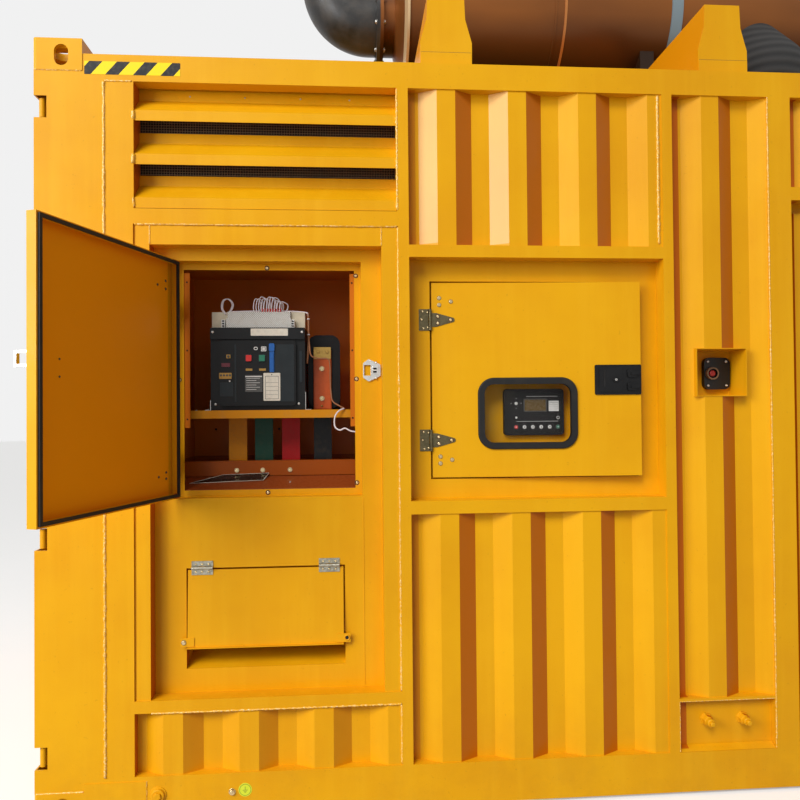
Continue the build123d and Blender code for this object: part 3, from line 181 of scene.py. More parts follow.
class Paint:
    """Material under construction."""

    def __init__(self, name, **constants):
        self.material = bpy.data.materials.new(name)
        self.material.use_nodes = True
        self.tree = self.material.node_tree
        self.surface = self.tree.nodes["Principled BSDF"]
        for socket, value in constants.items():
            self.surface.inputs[self.label(socket)].default_value = value

    @staticmethod
    def label(name):
        """Socket's label from a plain Python name."""
        return name.replace("_", " ").title().replace("Ior", "IOR")

    def node(self, kind, settings, values=(), output=0):
        made = self.tree.nodes.new("ShaderNode" + kind)
        for name, value in settings.items():
            setattr(made, name, value)
        pairs = values.items() if isinstance(values, dict) else enumerate(values)
        for socket, value in pairs:
            self.feed(made.inputs[socket], value)
        return Field(self, made.outputs[output])

    def feed(self, socket, value):
        if isinstance(value, Field):
            self.tree.links.new(value.socket, socket)
        else:
            socket.default_value = value

    def place(self):
        """Position on the piece, in metres of the model's frame at rest."""
        return self.node("TexCoord", {}, output="Object")

    def within(self, low, high):
        """1 inside a box of the near side, given by two corners, and 0 outside it."""
        place = self.place()
        inside = 1.0
        for axis, (start, end) in enumerate(zip(at(*low), at(*high))):
            along = place.part(axis)
            inside = along.above(start) * along.below(end) * inside
        return inside

    def facing(self, axis):
        """How far the surface faces along an axis of the model's frame, from -1 to 1."""
        return self.node("TexCoord", {}, output="Normal").part(axis)

    def about(self, e, z):
        """Distances across, upward and straight from a place on the near side, in millimetres."""
        place, middle = self.place(), at(e, 0, z)
        across = (place.part(0) - middle.x) * 1000
        upward = (place.part(2) - middle.z) * 1000
        return across, upward, (across * across + upward * upward) ** 0.5

    def waves(self, pitch):
        """Sine waves along the side and upwards, with a pitch in metres."""
        place = self.place()
        return [(place.part(axis) * (math.tau / pitch)).wave() for axis in (0, 2)]

    def noise(self, scale, detail=3.0, rough=0.5, where=None):
        where = where or self.place()
        values = {"Vector": where, "Scale": scale, "Detail": detail, "Roughness": rough}
        return self.node("TexNoise", {}, values)

    def cells(self, scale):
        return self.node("TexVoronoi", {}, {"Vector": self.place(), "Scale": scale})

    def stretched(self, x, y, z):
        """Place on the piece, drawn together along each axis."""
        return self.node("Mapping", {"vector_type": "POINT"}, {"Vector": self.place(), "Scale": (x, y, z)})

    def band(self, start, end):
        """1 between two places along the side, and 0 outside them."""
        along = self.place().part(0)
        return along.above(side_x(start)) * along.below(side_x(end))

    def mix(self, share, first, second):
        """Colour between two colours. 6, 7 and 2 are the node's sockets for colours."""
        first, second = (c if isinstance(c, Field) else (*c, 1.0) for c in (first, second))
        return self.node("Mix", {"data_type": "RGBA"}, {0: share, 6: first, 7: second}, 2)

    def cover(self, colour, roughness=None, height=None, relief=0.001, **fields):
        """Join the fields to the surface. relief is the bump's depth in metres."""
        self.feed(self.surface.inputs["Base Color"], colour)
        if roughness is not None:
            self.feed(self.surface.inputs["Roughness"], roughness)
        if height is not None:
            bump = self.node("Bump", {}, {"Strength": 1.0, "Distance": relief, "Height": height})
            self.feed(self.surface.inputs["Normal"], bump)
        for name, field in fields.items():
            self.feed(self.surface.inputs[self.label(name)], field)
        return self.material


def linear(value):
    """Linear light of a screen's 0 to 255 value."""
    share = value / 255
    return share / 12.92 if value < 11 else ((share + 0.055) / 1.055) ** 2.4


def srgb(red, green, blue):
    """Linear colour from the 0 to 255 values that a screen shows."""
    return linear(red), linear(green), linear(blue)


def tinted(colour, *shares):
    """Colour with each of its parts times a share."""
    return tuple(part * share for part, share in zip(colour, shares))


# Finishes

def yellow_enamel(colour):
    """Sprayed industrial yellow: slight orange peel, faint streaks, dust at the foot, and painted shade in
    recesses and on sides turned from the light, with a painted sheen and painted bounce light in places.
    """
    paint = Paint("yellow_enamel", specular_ior_level=0.16, coat_weight=0.04, coat_roughness=0.2)
    pale = (min(colour[0] * 1.05, 1.0), colour[1] * 1.12, colour[2] * 2.2 + 0.004)
    cloud = paint.noise(1.3, 4.0, 0.6).span(0.35, 0.65)
    streak = paint.noise(1.0, 5.0, 0.62, paint.stretched(16.0, 16.0, 0.9)).span(0.48, 0.78)
    height = paint.place().part(2)
    foot = height.span(0.45, 0.0) * paint.noise(7.0, 6.0, 0.7).span(0.42, 0.68)
    body = paint.mix(cloud, tinted(colour, 0.90, 0.82, 0.75), colour)
    body = paint.mix(streak * 0.35, body, pale)
    body = paint.mix(foot * 0.12, body, srgb(120, 84, 44))
    specks = paint.noise(90.0, 2.0, 0.5).span(0.70, 0.76)
    body = paint.mix(specks * 0.18, body, srgb(140, 92, 30))
    # Painted light and shade from enamel_tones, laid over the paint
    for share, tone in enamel_tones(paint, colour):
        body = paint.mix(share, body, tone)
    rough = paint.noise(5.0, 4.0, 0.6).span(0.3, 0.7, 0.28, 0.46) + foot * 0.25
    peel = paint.noise(420.0, 2.0, 0.5) * 0.35 + paint.noise(9.0, 2.0, 0.5) * 0.9
    return paint.cover(body, rough, peel, 0.0009)


def enamel_tones(paint, colour):
    """Shares and tones of the enamel's deeper and paler parts, in the order in which they are laid.

    They stand for the light and shade that the photo shows there.
    """
    towards = paint.facing(0)
    # Painted shade on the reveals that face the radiator end, kept off a strip at the breaker door's hinges
    reveal_shade = towards.above(0.6) * paint.within((300, 9, 100), (2900, 118, 2760))
    reveal_shade = reveal_shade * (1 - paint.within((440, -900, 1170), (485, 68, 2095)))
    # Painted shade on the corrugations' slopes that face the radiator end, weaker low down below the breaker
    # cabinet
    slope_shade = towards.above(0.2) * towards.below(0.6) * paint.within((360, 5, 160), (LENGTH - 250, 62, 2760))
    slope_shade = slope_shade * (1 - paint.within((360, 5, 160), (1350, 62, 400)) * 0.65)
    # Painted sheen on two slopes of the upper panel that face the cable end
    sheen = towards.below(-0.2) * towards.above(-0.6) * paint.within((1400, 5, 2150), (1790, 62, 2745))
    # Painted shadow on the flat strips beside three posts, half as strong beside the post next to the cabinet
    foot, top = 165, 2745
    sides = ((2430, 2476), (2917, 2961), (1387, 1420))
    middle, far, near = (paint.within((start, 20, foot), (end, 60, top)) for start, end in sides)
    strip = middle.most(far).most(near * 0.5)
    # Painted shade on the saddles' webs that face the cable end
    web_shade = towards.below(-0.6) * paint.within((1430, 20, 2842), (2780, 2420, 3140))
    # Painted bounce light: the open breaker door's lining made redder and brighter
    door = towards.above(0.5) * paint.within((240, -640, 1180), (478, 60, 2085))
    # Painted shadow: the seat under the silencer in dark brown
    cradle_shadow = paint.within((1430, 600, 3132), (2790, 1400, 3400))
    # Painted shade inside the breaker cabinet, deepest at its foot
    cabinet = paint.within((464, 120.2, 1162), (1219, 560, 2101))
    cabinet_foot_shade = paint.within((464, 126, 1162), (1219, 560, 1310))
    return (
        (reveal_shade, tinted(colour, 0.60, 0.27, 0.4)),
        (slope_shade, tinted(colour, 0.68, 0.37, 0.3)),
        (sheen * 0.3, srgb(255, 226, 190)),
        (strip, tinted(colour, 0.66, 0.30, 0.4)),
        (web_shade, tinted(colour, 0.94, 0.74, 0.6)),
        (door, tinted(colour, 1.22, 0.90, 0.8)),
        (cradle_shadow, srgb(44, 28, 16)),
        (cabinet, tinted(colour, 0.70, 0.36, 0.9)),
        (cabinet_foot_shade, tinted(colour, 0.42, 0.17, 0.5)),
    )


def weld_metal(colour):
    """Painted weld beads: ripples, with cream painted highlights on their raised parts."""
    paint = Paint("painted_weld", roughness=0.3, coat_weight=0.3)
    # cream: the colour of the painted highlights on the ripples
    cream = (0.92, 0.62, 0.26)
    ripple = paint.noise(160.0, 2.0, 0.5)
    return paint.cover(paint.mix(ripple.span(0.46, 0.70), colour, cream), None, ripple, 0.002)


def underseal():
    paint = Paint("black_underseal", roughness=0.8)
    grain = paint.noise(120.0, 4.0, 0.6)
    return paint.cover(paint.mix(grain, srgb(24, 23, 22), srgb(48, 45, 42)), None, grain, 0.002)


def wire_mesh():
    """Woven wire screen, with painted shade between the wires for the dark space behind it."""
    paint = Paint("wire_screen", metallic=0.5)
    across, upward = paint.waves(0.010)
    wire = across.most(upward).span(0.55, 0.85)
    # The dark between the wires is painted shade
    colour = paint.mix(wire, srgb(20, 14, 8), srgb(120, 104, 78))
    return paint.cover(colour, wire.span(0.0, 1.0, 0.9, 0.4), wire, 0.001)


def moulded(name, colour, roughness, grain=600.0, relief=0.0003):
    """Moulded plastic with a fine grain and slightly rubbed patches."""
    paint = Paint(name, specular_ior_level=0.22)
    patch = paint.noise(22.0, 4.0, 0.6).span(0.4, 0.7)
    lighter = tuple(min(c * 1.4 + 0.003, 1.0) for c in colour)
    rough = patch.span(0.0, 1.0, roughness, roughness + 0.12)
    return paint.cover(paint.mix(patch * 0.5, colour, lighter), rough, paint.noise(grain, 2.0), relief)


def bare_metal(name, colour, roughness):
    """Plated or machined metal with a faint directional grain."""
    paint = Paint(name, metallic=1.0)
    grain = paint.noise(1.0, 3.0, 0.6, paint.stretched(30.0, 30.0, 400.0))
    tarnish = paint.noise(60.0, 4.0, 0.6).span(0.45, 0.75)
    dull = tinted(colour, 0.6, 0.6, 0.6)
    rough = grain.span(0.3, 0.7, roughness * 0.8, roughness * 1.3) + tarnish * 0.15
    return paint.cover(paint.mix(tarnish * 0.6, colour, dull), rough, grain, 0.0003)


def hinge_zinc(colour):
    """Mottled zinc plate: olive on the doors' hinges, pale grey on the flap's."""
    paint = Paint("passivated_zinc", metallic=0.9)
    mottle = paint.noise(110.0, 5.0, 0.7).span(0.36, 0.62)
    body = paint.mix(paint.within((540, 50, 850), (1140, 90, 960)), colour, srgb(176, 172, 156))
    body = paint.mix(mottle * 0.55, body, tinted(colour, 0.35, 0.35, 0.35))
    return paint.cover(body, mottle.span(0, 1, 0.3, 0.45), mottle, 0.0003)


def busbar_sleeves(edges, shelf_top):
    """Heat-shrink sleeves: one colour for each flat bar, and bare taped copper above the shelf."""
    paint = Paint("busbar_sleeves", specular_ior_level=0.2)
    place = paint.place()
    along = place.part(0)
    body = paint.mix(along.above(edges[0]), srgb(198, 128, 8), srgb(14, 60, 44))
    body = paint.mix(along.above(edges[1]), body, srgb(168, 24, 26))
    body = paint.mix(along.above(edges[2]), body, srgb(12, 12, 13))
    body = paint.mix(place.part(2).above(shelf_top) * along.above(edges[2]), body, srgb(196, 84, 16))
    scuff = paint.noise(45.0, 5.0, 0.65).span(0.5, 0.75)
    return paint.cover(paint.mix(scuff * 0.25, body, srgb(90, 80, 66)), scuff.span(0, 1, 0.38, 0.6),
                       paint.noise(180.0), 0.0004)


def door_foam():
    """Closed-cell sealing rubber."""
    paint = Paint("sealing_rubber", roughness=0.55, specular_ior_level=0.3)
    grain = paint.noise(300.0, 3.0, 0.6)
    dust = paint.noise(14.0, 4.0, 0.6).span(0.5, 0.8)
    return paint.cover(paint.mix(dust * 0.25, srgb(13, 12, 12), srgb(70, 60, 48)), None, grain, 0.0006)


def pane():
    """Clear window pane with a film of dust."""
    paint = Paint("window_pane", ior=1.5)
    dust = paint.noise(9.0, 5.0, 0.6).span(0.5, 0.85)
    return paint.cover(paint.mix(dust, srgb(30, 30, 28), srgb(120, 108, 88)),
                       dust.span(0, 1, 0.03, 0.2), alpha=dust.span(0, 1, 0.05, 0.12))


def heat_steel(brown):
    """Rolled exhaust steel, browned by heat, with painted shade below and on top, a painted highlight along a
    seam, a grey strap and a pale rim.
    """
    paint = Paint("heat_tinted_steel", metallic=0.45, specular_ior_level=0.3)
    stain = paint.noise(1.0, 3.0, 0.5, paint.stretched(0.9, 2.0, 2.0)).span(0.38, 0.66)
    # Painted shade: faces turned down near black, faces turned up a darker brown
    body = paint.mix(paint.facing(2).span(-0.92, -0.25), srgb(30, 18, 11), brown)
    body = paint.mix(paint.facing(2).span(0.0, 0.8) * 0.6, body, srgb(84, 56, 40))
    body = paint.mix(stain * 0.55, body, srgb(78, 46, 26))
    # Painted highlight along the seam
    body = paint.mix(paint.band(2217, 2230), body, srgb(186, 122, 66))
    body = paint.mix(paint.band(2753, 2811), body, srgb(128, 142, 148))
    body = paint.mix(paint.band(1440, 1464), body, srgb(214, 184, 140))
    return paint.cover(body, stain.span(0, 1, 0.40, 0.30), paint.noise(2.0, 2.0), 0.002)


def heat_black():
    """Matt black heat-proof paint with a grey bloom."""
    paint = Paint("heat_proof_black", roughness=0.5)
    bloom = paint.noise(6.0, 5.0, 0.6).span(0.42, 0.72)
    return paint.cover(paint.mix(bloom * 0.5, srgb(26, 25, 24), srgb(92, 84, 74)),
                       bloom.span(0, 1, 0.36, 0.62), paint.noise(160.0, 3.0), 0.0008)


def lagging():
    """Black woven wrap round the inlet pipe, in slanting turns."""
    paint = Paint("black_lagging", roughness=0.85)
    place = paint.place()
    turns = ((place.part(2) + place.part(0) * 0.25) * (math.tau / 0.055)).wave().span(-1, 1)
    weave = paint.cells(420.0)
    folds = paint.noise(14.0, 4.0, 0.6)
    body = paint.mix(turns, srgb(16, 16, 16), srgb(44, 43, 42))
    return paint.cover(body, None, turns * 0.8 + weave * 0.15 + folds * 0.7, 0.006)


def plain(name, colour, roughness):
    """Small trim in one colour, with slight wear."""
    paint = Paint(name)
    wear = paint.noise(70.0, 4.0, 0.6).span(0.45, 0.75)
    body = paint.mix(wear * 0.5, colour, tinted(colour, 0.72, 0.72, 0.72))
    return paint.cover(body, wear.span(0, 1, roughness, roughness + 0.15), paint.noise(240.0), 0.0002)


def shelf_enamel(colour):
    """Painted folded steel, darker than the outside with painted shade, and duller."""
    paint = Paint("shelf_enamel", specular_ior_level=0.22)
    # thin: the enamel darkened as painted shade
    thin = tinted(colour, 0.80, 0.62, 1.0)
    worn = paint.noise(20.0, 5.0, 0.65).span(0.52, 0.75)
    return paint.cover(paint.mix(worn * 0.3, thin, srgb(150, 128, 96)), worn.span(0, 1, 0.4, 0.55),
                       paint.noise(260.0), 0.0003)


def stop_box():
    """Black moulded housing with a pale collar and a red button at its centre."""
    paint = Paint("stop_black", roughness=0.4, specular_ior_level=0.3)
    off = paint.about(*STOP_BUTTON)[2]
    grain = paint.noise(300.0)
    body = paint.mix(grain, srgb(18, 17, 17), srgb(30, 28, 27))
    body = paint.mix(off.below(25.6), body, srgb(124, 96, 70))
    body = paint.mix(off.below(19.2), body, srgb(30, 12, 10))
    body = paint.mix(off.below(13.6), body, srgb(186, 34, 22))
    return paint.cover(body, None, grain, 0.0003)


def hazard_tape(pitch):
    """Slanting black bars on bright yellow tape."""
    paint = Paint("hazard_tape", specular_ior_level=0.25)
    place = paint.place()
    lean = 0.88
    start = side_x(461.5) - at(0, 0, 2765).z * lean
    slant = (place.part(0) - place.part(2) * lean - start) / pitch
    bar = slant.math("FRACT").below(0.48)
    scuff = paint.noise(60.0, 5.0, 0.7).span(0.48, 0.74)
    body = paint.mix(bar, srgb(250, 218, 0), srgb(24, 25, 28))
    body = paint.mix(scuff * 0.14, body, srgb(150, 140, 96))
    return paint.cover(body, scuff.span(0, 1, 0.3, 0.5), bar, 0.0002)


def terminal_rows():
    """White moulding with rows of screw holes, painted dark as the shade in them."""
    paint = Paint("terminal_holes", roughness=0.45)
    across, upward = paint.waves(0.0082)
    # The holes' dark colour is painted shade
    hole = (across * upward).span(0.35, 0.7)
    grime = paint.noise(40.0, 4.0, 0.6).span(0.5, 0.8)
    body = paint.mix(hole, srgb(220, 220, 214), srgb(84, 82, 78))
    return paint.cover(paint.mix(grime * 0.3, body, srgb(150, 136, 110)), None, 1 - hole, 0.001)


def earth_label():
    """Round green-yellow label with the common earth sign."""
    paint = Paint("earth_label", roughness=0.4)
    across, upward, off = paint.about(*EARTH_SIGN)
    size = across.math("ABSOLUTE")
    ring = off.above(19.5) * off.below(21.5)
    stem = size.below(1.1) * upward.above(-1) * upward.below(12)
    bars = size.below(9) * upward.above(-2.2) * upward.below(0)
    bars = bars.most(size.below(6) * upward.above(-6.4) * upward.below(-4.4))
    bars = bars.most(size.below(3) * upward.above(-10.4) * upward.below(-8.4))
    sign = ring.most(stem).most(bars)
    fade = paint.noise(60.0, 4.0, 0.6)
    body = paint.mix(fade, srgb(196, 214, 20), srgb(222, 226, 60))
    return paint.cover(paint.mix(sign * 0.75, body, srgb(60, 84, 20)), None, fade, 0.0002)


# The finishes by name, made once and shared by the pieces
FINISHES = {}


# Shapes

OUT = (0, -1, 0)


class Shape:
    """Mesh under construction, in millimetres of the near side, with one finish number for each part."""

    def __init__(self):
        self.mesh = bmesh.new()

    def keep(self, faces, finish, smooth=False):
        for face in faces:
            face.material_index = finish
            face.smooth = smooth

    def walls(self, first, second):
        """Four-sided faces from one closed row of corners to another."""
        corners = zip(first, second, second[1:] + second[:1], first[1:] + first[:1])
        return [self.mesh.faces.new(four) for four in corners]

    def outline(self, points, push, finish=0):
        """Prism: a closed outline of 3-D points, pushed along a vector."""
        first = [self.mesh.verts.new(Vector(p)) for p in points]
        second = [self.mesh.verts.new(Vector(p) + Vector(push)) for p in points]
        ends = [self.mesh.faces.new(first), self.mesh.faces.new(second[::-1])]
        self.keep(ends + self.walls(first, second), finish)

    def block(self, e, v, z, finish=0):
        points = [(e[0], v[0], z[0]), (e[1], v[0], z[0]), (e[1], v[0], z[1]), (e[0], v[0], z[1])]
        self.outline(points, (0, v[1] - v[0], 0), finish)

    def plate(self, e, z, v, thick, corner=0.0, finish=0):
        """Plate facing outwards, with its front at v and rounded corners."""
        self.outline([(x, v, y) for x, y in rounded(e, z, corner, 5)], (0, thick, 0), finish)

    def plates(self, front, rows):
        """Plates before a front, from rows of e, z, distance to the front, thickness, corner and finish."""
        for e, z, lift, thick, corner, finish in rows:
            self.plate(e, z, front - lift, thick, corner, finish)

    def frame(self, e, z, v, thick, corner, width, finish=0):
        """Ring of plate."""
        outer = rounded(e, z, corner, 6)
        hole = ((e[0] + width, e[1] - width), (z[0] + width, z[1] - width))
        inner = rounded(*hole, max(corner - width, 1.0), 6)
        rings = []
        for points, depth in ((outer, v), (outer, v + thick), (inner, v + thick), (inner, v)):
            rings.append([self.mesh.verts.new((x, depth, y)) for x, y in points])
        for first, second in zip(rings, rings[1:] + rings[:1]):
            self.keep(self.walls(first, second), finish)

    def ring(self, centre, side, other, radius, sides):
        """Corners of a round section."""
        corners = []
        for i in range(sides):
            turn = math.tau * i / sides
            around = (side * math.cos(turn) + other * math.sin(turn)) * radius
            corners.append(self.mesh.verts.new(centre + around))
        return corners

    def skin(self, rings, finish, caps=True):
        """Smooth surface from each round section to the next, with flat ends."""
        for first, second in zip(rings, rings[1:]):
            corners = zip(first, first[1:] + first[:1], second[1:] + second[:1], second)
            self.keep([self.mesh.faces.new(four) for four in corners], finish, True)
        if caps:
            self.keep([self.mesh.faces.new(rings[0][::-1]), self.mesh.faces.new(rings[-1])], finish)

    def lathe(self, start, axis, profile, finish=0, sides=24, caps=True):
        """Turned part: pairs of (distance along the axis, radius)."""
        axis, side, other = directions(axis)
        centre = Vector(start)
        self.skin([self.ring(centre + axis * run, side, other, radius, sides) for run, radius in profile],
                  finish, caps)

    def rod(self, start, end, radius, finish=0):
        run = Vector(end) - Vector(start)
        self.lathe(start, run, [(0, radius), (run.length, radius)], finish, 16)

    def bolt(self, seat, axis, size, finish=0, ring=None):
        """Hexagon head on a washer. size is the thread's diameter, ring the finish of a wide dark disc under it, a
        painted shade.
        """
        if ring is not None:
            # Painted shade: a dark disc round the foot of the bolt
            self.lathe(seat, axis, [(0, size * 1.22), (0.4, size * 1.2)], ring)
        self.lathe(seat, axis, [(0, size * 1.05), (size * 0.14, size * 1.05), (size * 0.18, size)], finish)
        head = Vector(seat) + Vector(axis).normalized() * size * 0.17
        flats = [(0, size * 0.86), (size * 0.50, size * 0.86), (size * 0.62, size * 0.74)]
        self.lathe(head, axis, flats, finish, 6)
        self.lathe(head, axis, [(size * 0.60, size * 0.42), (size * 0.70, size * 0.36)], finish, 12)

    def screw(self, seat, axis, size, finish=0, ring=None):
        """Domed screw head with a round hollow. size is its radius, ring the finish of a wide dark disc under it,
        a painted shade.
        """
        if ring is not None:
            # Painted shade: a dark disc round the foot of the screw
            self.lathe(seat, axis, [(0, size * 1.4), (0.3, size * 1.35)], ring, 20)
        dome = ((0, 1), (0.35, 0.92), (0.62, 0.6), (0.66, 0.35), (0.3, 0.30))
        self.lathe(seat, axis, [(size * rise, size * radius) for rise, radius in dome], finish, 16)

    def screws(self, plane, places, size, finish=0, ring=None):
        """Screws at (e, z) pairs of one plane, facing outwards."""
        for e, z in places:
            self.screw((e, plane, z), OUT, size, finish, ring)

    def bolts(self, plane, places, size, finish=0, ring=None):
        """Bolts at (e, z) pairs of one plane, facing outwards."""
        for e, z in places:
            self.bolt((e, plane, z), OUT, size, finish, ring)

    def tube(self, points, radius, finish=0, sides=10):
        """Round bar or wire through points, bent smoothly."""
        path = smooth_path([Vector(p) for p in points])
        normal = (path[1] - path[0]).orthogonal().normalized()
        rings = []
        for i, point in enumerate(path):
            ahead = (path[min(i + 1, len(path) - 1)] - path[max(i - 1, 0)]).normalized()
            normal = (normal - ahead * normal.dot(ahead)).normalized()
            rings.append(self.ring(point, normal, ahead.cross(normal), radius, sides))
        self.skin(rings, finish)

    def bead(self, start, end, radius, finish, seed):
        """Weld bead: a low ridge with uneven ripples."""
        run = Vector(end) - Vector(start)
        count = max(int(run.length / (radius * 1.4)), 2)
        chance = random.Random(seed)
        side, other = directions(run)[1:]
        rings = []
        for i in range(count + 1):
            centre = Vector(start) + run * (i / count)
            swell = radius * (0.72 + 0.5 * chance.random())
            drift = side * (chance.random() - 0.5) * radius * 0.5
            rings.append(self.ring(centre + drift, side, other, swell, 6))
        self.skin(rings, finish)

    def object(self, name, body, finishes, bevel=0.0):
        """Blender object of the shape, riding on its body."""
        bmesh.ops.recalc_face_normals(self.mesh, faces=self.mesh.faces)
        scale = Matrix.Translation(CORNER) @ Matrix.Scale(MM, 4)
        self.mesh.transform(closed_to_rest(body) @ scale)
        data = bpy.data.meshes.new(name)
        self.mesh.to_mesh(data)
        self.mesh.free()
        made = placed(name, data)
        for finish in finishes:
            data.materials.append(FINISHES[finish])
        if bevel:
            round_off = made.modifiers.new("rounded_edges", "BEVEL")
            round_off.width = bevel * MM
            round_off.segments = 2
            round_off.limit_method = "ANGLE"
            round_off.angle_limit = math.radians(40)
            round_off.harden_normals = True
        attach(made, body)
        return made


def directions(run):
    """Three unit vectors: along a run, and two across it."""
    axis = Vector(run).normalized()
    side = axis.orthogonal().normalized()
    return axis, side, axis.cross(side)


def rounded(e, z, corner, steps):
    """Outline of a rectangle with rounded corners, as (e, z) pairs."""
    if corner <= 0:
        return [(e[0], z[0]), (e[1], z[0]), (e[1], z[1]), (e[0], z[1])]
    points = []
    centres = ((e[1] - corner, z[0] + corner, -90), (e[1] - corner, z[1] - corner, 0),
               (e[0] + corner, z[1] - corner, 90), (e[0] + corner, z[0] + corner, 180))
    for x, y, start in centres:
        for i in range(steps + 1):
            turn = math.radians(start + 90 * i / steps)
            points.append((x + corner * math.cos(turn), y + corner * math.sin(turn)))
    return points


def smooth_path(points):
    """Points along a smooth line through the given ones, with six steps between two of them."""
    if len(points) < 3:
        return points
    ends = [points[0] * 2 - points[1], *points, points[-1] * 2 - points[-2]]
    path = []
    for a, b, c, d in zip(ends, ends[1:], ends[2:], ends[3:]):
        for i in range(6):
            t = i / 6
            bend = (2 * a - 5 * b + 4 * c - d) * t * t + (3 * b - a - 3 * c + d) * t ** 3
            path.append(0.5 * ((2 * b) + (c - a) * t + bend))
    return path + [points[-1]]


# Settings

class ContainerPaintSettings(bpy.types.PropertyGroup):
    enamel: bpy.props.FloatVectorProperty(
        name="Enamel", description="Linear colour of the sprayed enamel",
        subtype="COLOR", default=(0.81, 0.402, 0.004), min=0.0, max=1.0)
    silencer_brown: bpy.props.FloatVectorProperty(
        name="Heated steel", description="Linear colour of the silencer where heat has browned it",
        subtype="COLOR", default=(0.275, 0.092, 0.018), min=0.0, max=1.0)


class ContainerFittingSettings(bpy.types.PropertyGroup):
    weld_radius: bpy.props.FloatProperty(
        name="Weld", description="Half width of the weld beads",
        subtype="DISTANCE", unit="LENGTH", default=0.0035)
    flange_screw: bpy.props.FloatProperty(
        name="Flange screw", description="Half width of the screw heads round the breaker opening",
        subtype="DISTANCE", unit="LENGTH", default=0.0068)
    bar_pitch: bpy.props.FloatProperty(
        name="Hazard bar pitch", description="Distance between the black bars of the hazard stripe",
        subtype="DISTANCE", unit="LENGTH", default=0.1005)
    wire_radius: bpy.props.FloatProperty(
        name="Wire", description="Half the thickness of the control wires",
        subtype="DISTANCE", unit="LENGTH", default=0.0020)


class ContainerStageSettings(bpy.types.PropertyGroup):
    sun_strength: bpy.props.FloatProperty(
        name="Sun", description="Strength of the key light", default=1.82, min=0.0)
    sun_spread: bpy.props.FloatProperty(
        name="Sun spread", description="Angle of the key light, which softens its shadows",
        subtype="ANGLE", unit="ROTATION", default=math.radians(24.0))
    sun_towards: bpy.props.FloatVectorProperty(
        name="Towards the sun", description="Direction from the container to the key light",
        subtype="DIRECTION", default=(-0.36, -0.66, 0.66))
    side_strength: bpy.props.FloatProperty(
        name="Side light", description="Strength of the broad soft light beyond the cable end",
        subtype="POWER", unit="POWER", default=390.0, min=0.0)
    side_place: bpy.props.FloatVectorProperty(
        name="Side light's place", description="Where the broad soft light hangs",
        subtype="TRANSLATION", unit="LENGTH", default=(-7.5, -5.5, 3.6))
    fill: bpy.props.FloatProperty(
        name="Fill", description="Strength of the light from all round", default=0.27)
    backdrop: bpy.props.FloatProperty(
        name="Backdrop", description="Brightness of the pale surroundings as they are seen",
        subtype="FACTOR", default=0.88, min=0.0, max=1.0)
    floor_grey: bpy.props.FloatProperty(
        name="Floor", description="Brightness of the floor's colour as it is seen",
        subtype="FACTOR", default=0.75, min=0.0, max=1.0)
    floor_bounce: bpy.props.FloatProperty(
        name="Floor bounce", description="Share of the light that the floor throws back on the container",
        subtype="FACTOR", default=0.35, min=0.0, max=1.0)
    camera_place: bpy.props.FloatVectorProperty(
        name="Camera", description="Where the camera stands",
        subtype="TRANSLATION", unit="LENGTH", default=(-1.872, -3.874, 1.509))
    camera_yaw: bpy.props.FloatProperty(
        name="Turn", description="Turn of the camera towards the radiator end",
        subtype="ANGLE", unit="ROTATION", default=math.radians(4.14))
    camera_pitch: bpy.props.FloatProperty(
        name="Tilt", description="Upward tilt of the camera",
        subtype="ANGLE", unit="ROTATION", default=math.radians(0.79))
    camera_roll: bpy.props.FloatProperty(
        name="Roll", description="Roll of the camera",
        subtype="ANGLE", unit="ROTATION", default=math.radians(-0.49))
    camera_lens: bpy.props.FloatProperty(
        name="Lens", description="Focal length on a 36 mm sensor", subtype="DISTANCE_CAMERA", default=31.5)


# Pieces

FINISH_OF_SLOT = {
    "yellow_paint": "yellow_enamel", "floor_steel": "black_underseal", "mesh_steel": "wire_screen",
    "breaker_plastic": "breaker_black", "sleeved_copper": "busbar_sleeves", "black_resin": "cast_resin",
    "shelf_paint": "shelf_enamel", "latch_chrome": "chrome_plate", "door_rubber": "sealing_rubber",
    "window_pane": "window_pane", "latch_black": "latch_black", "controller_plastic": "controller_grey",
    "stop_plastic": "stop_black", "silencer_steel": "heat_tinted_steel", "exhaust_black": "heat_proof_black",
    "lagging": "black_lagging", "hinge_zinc": "passivated_zinc",
}


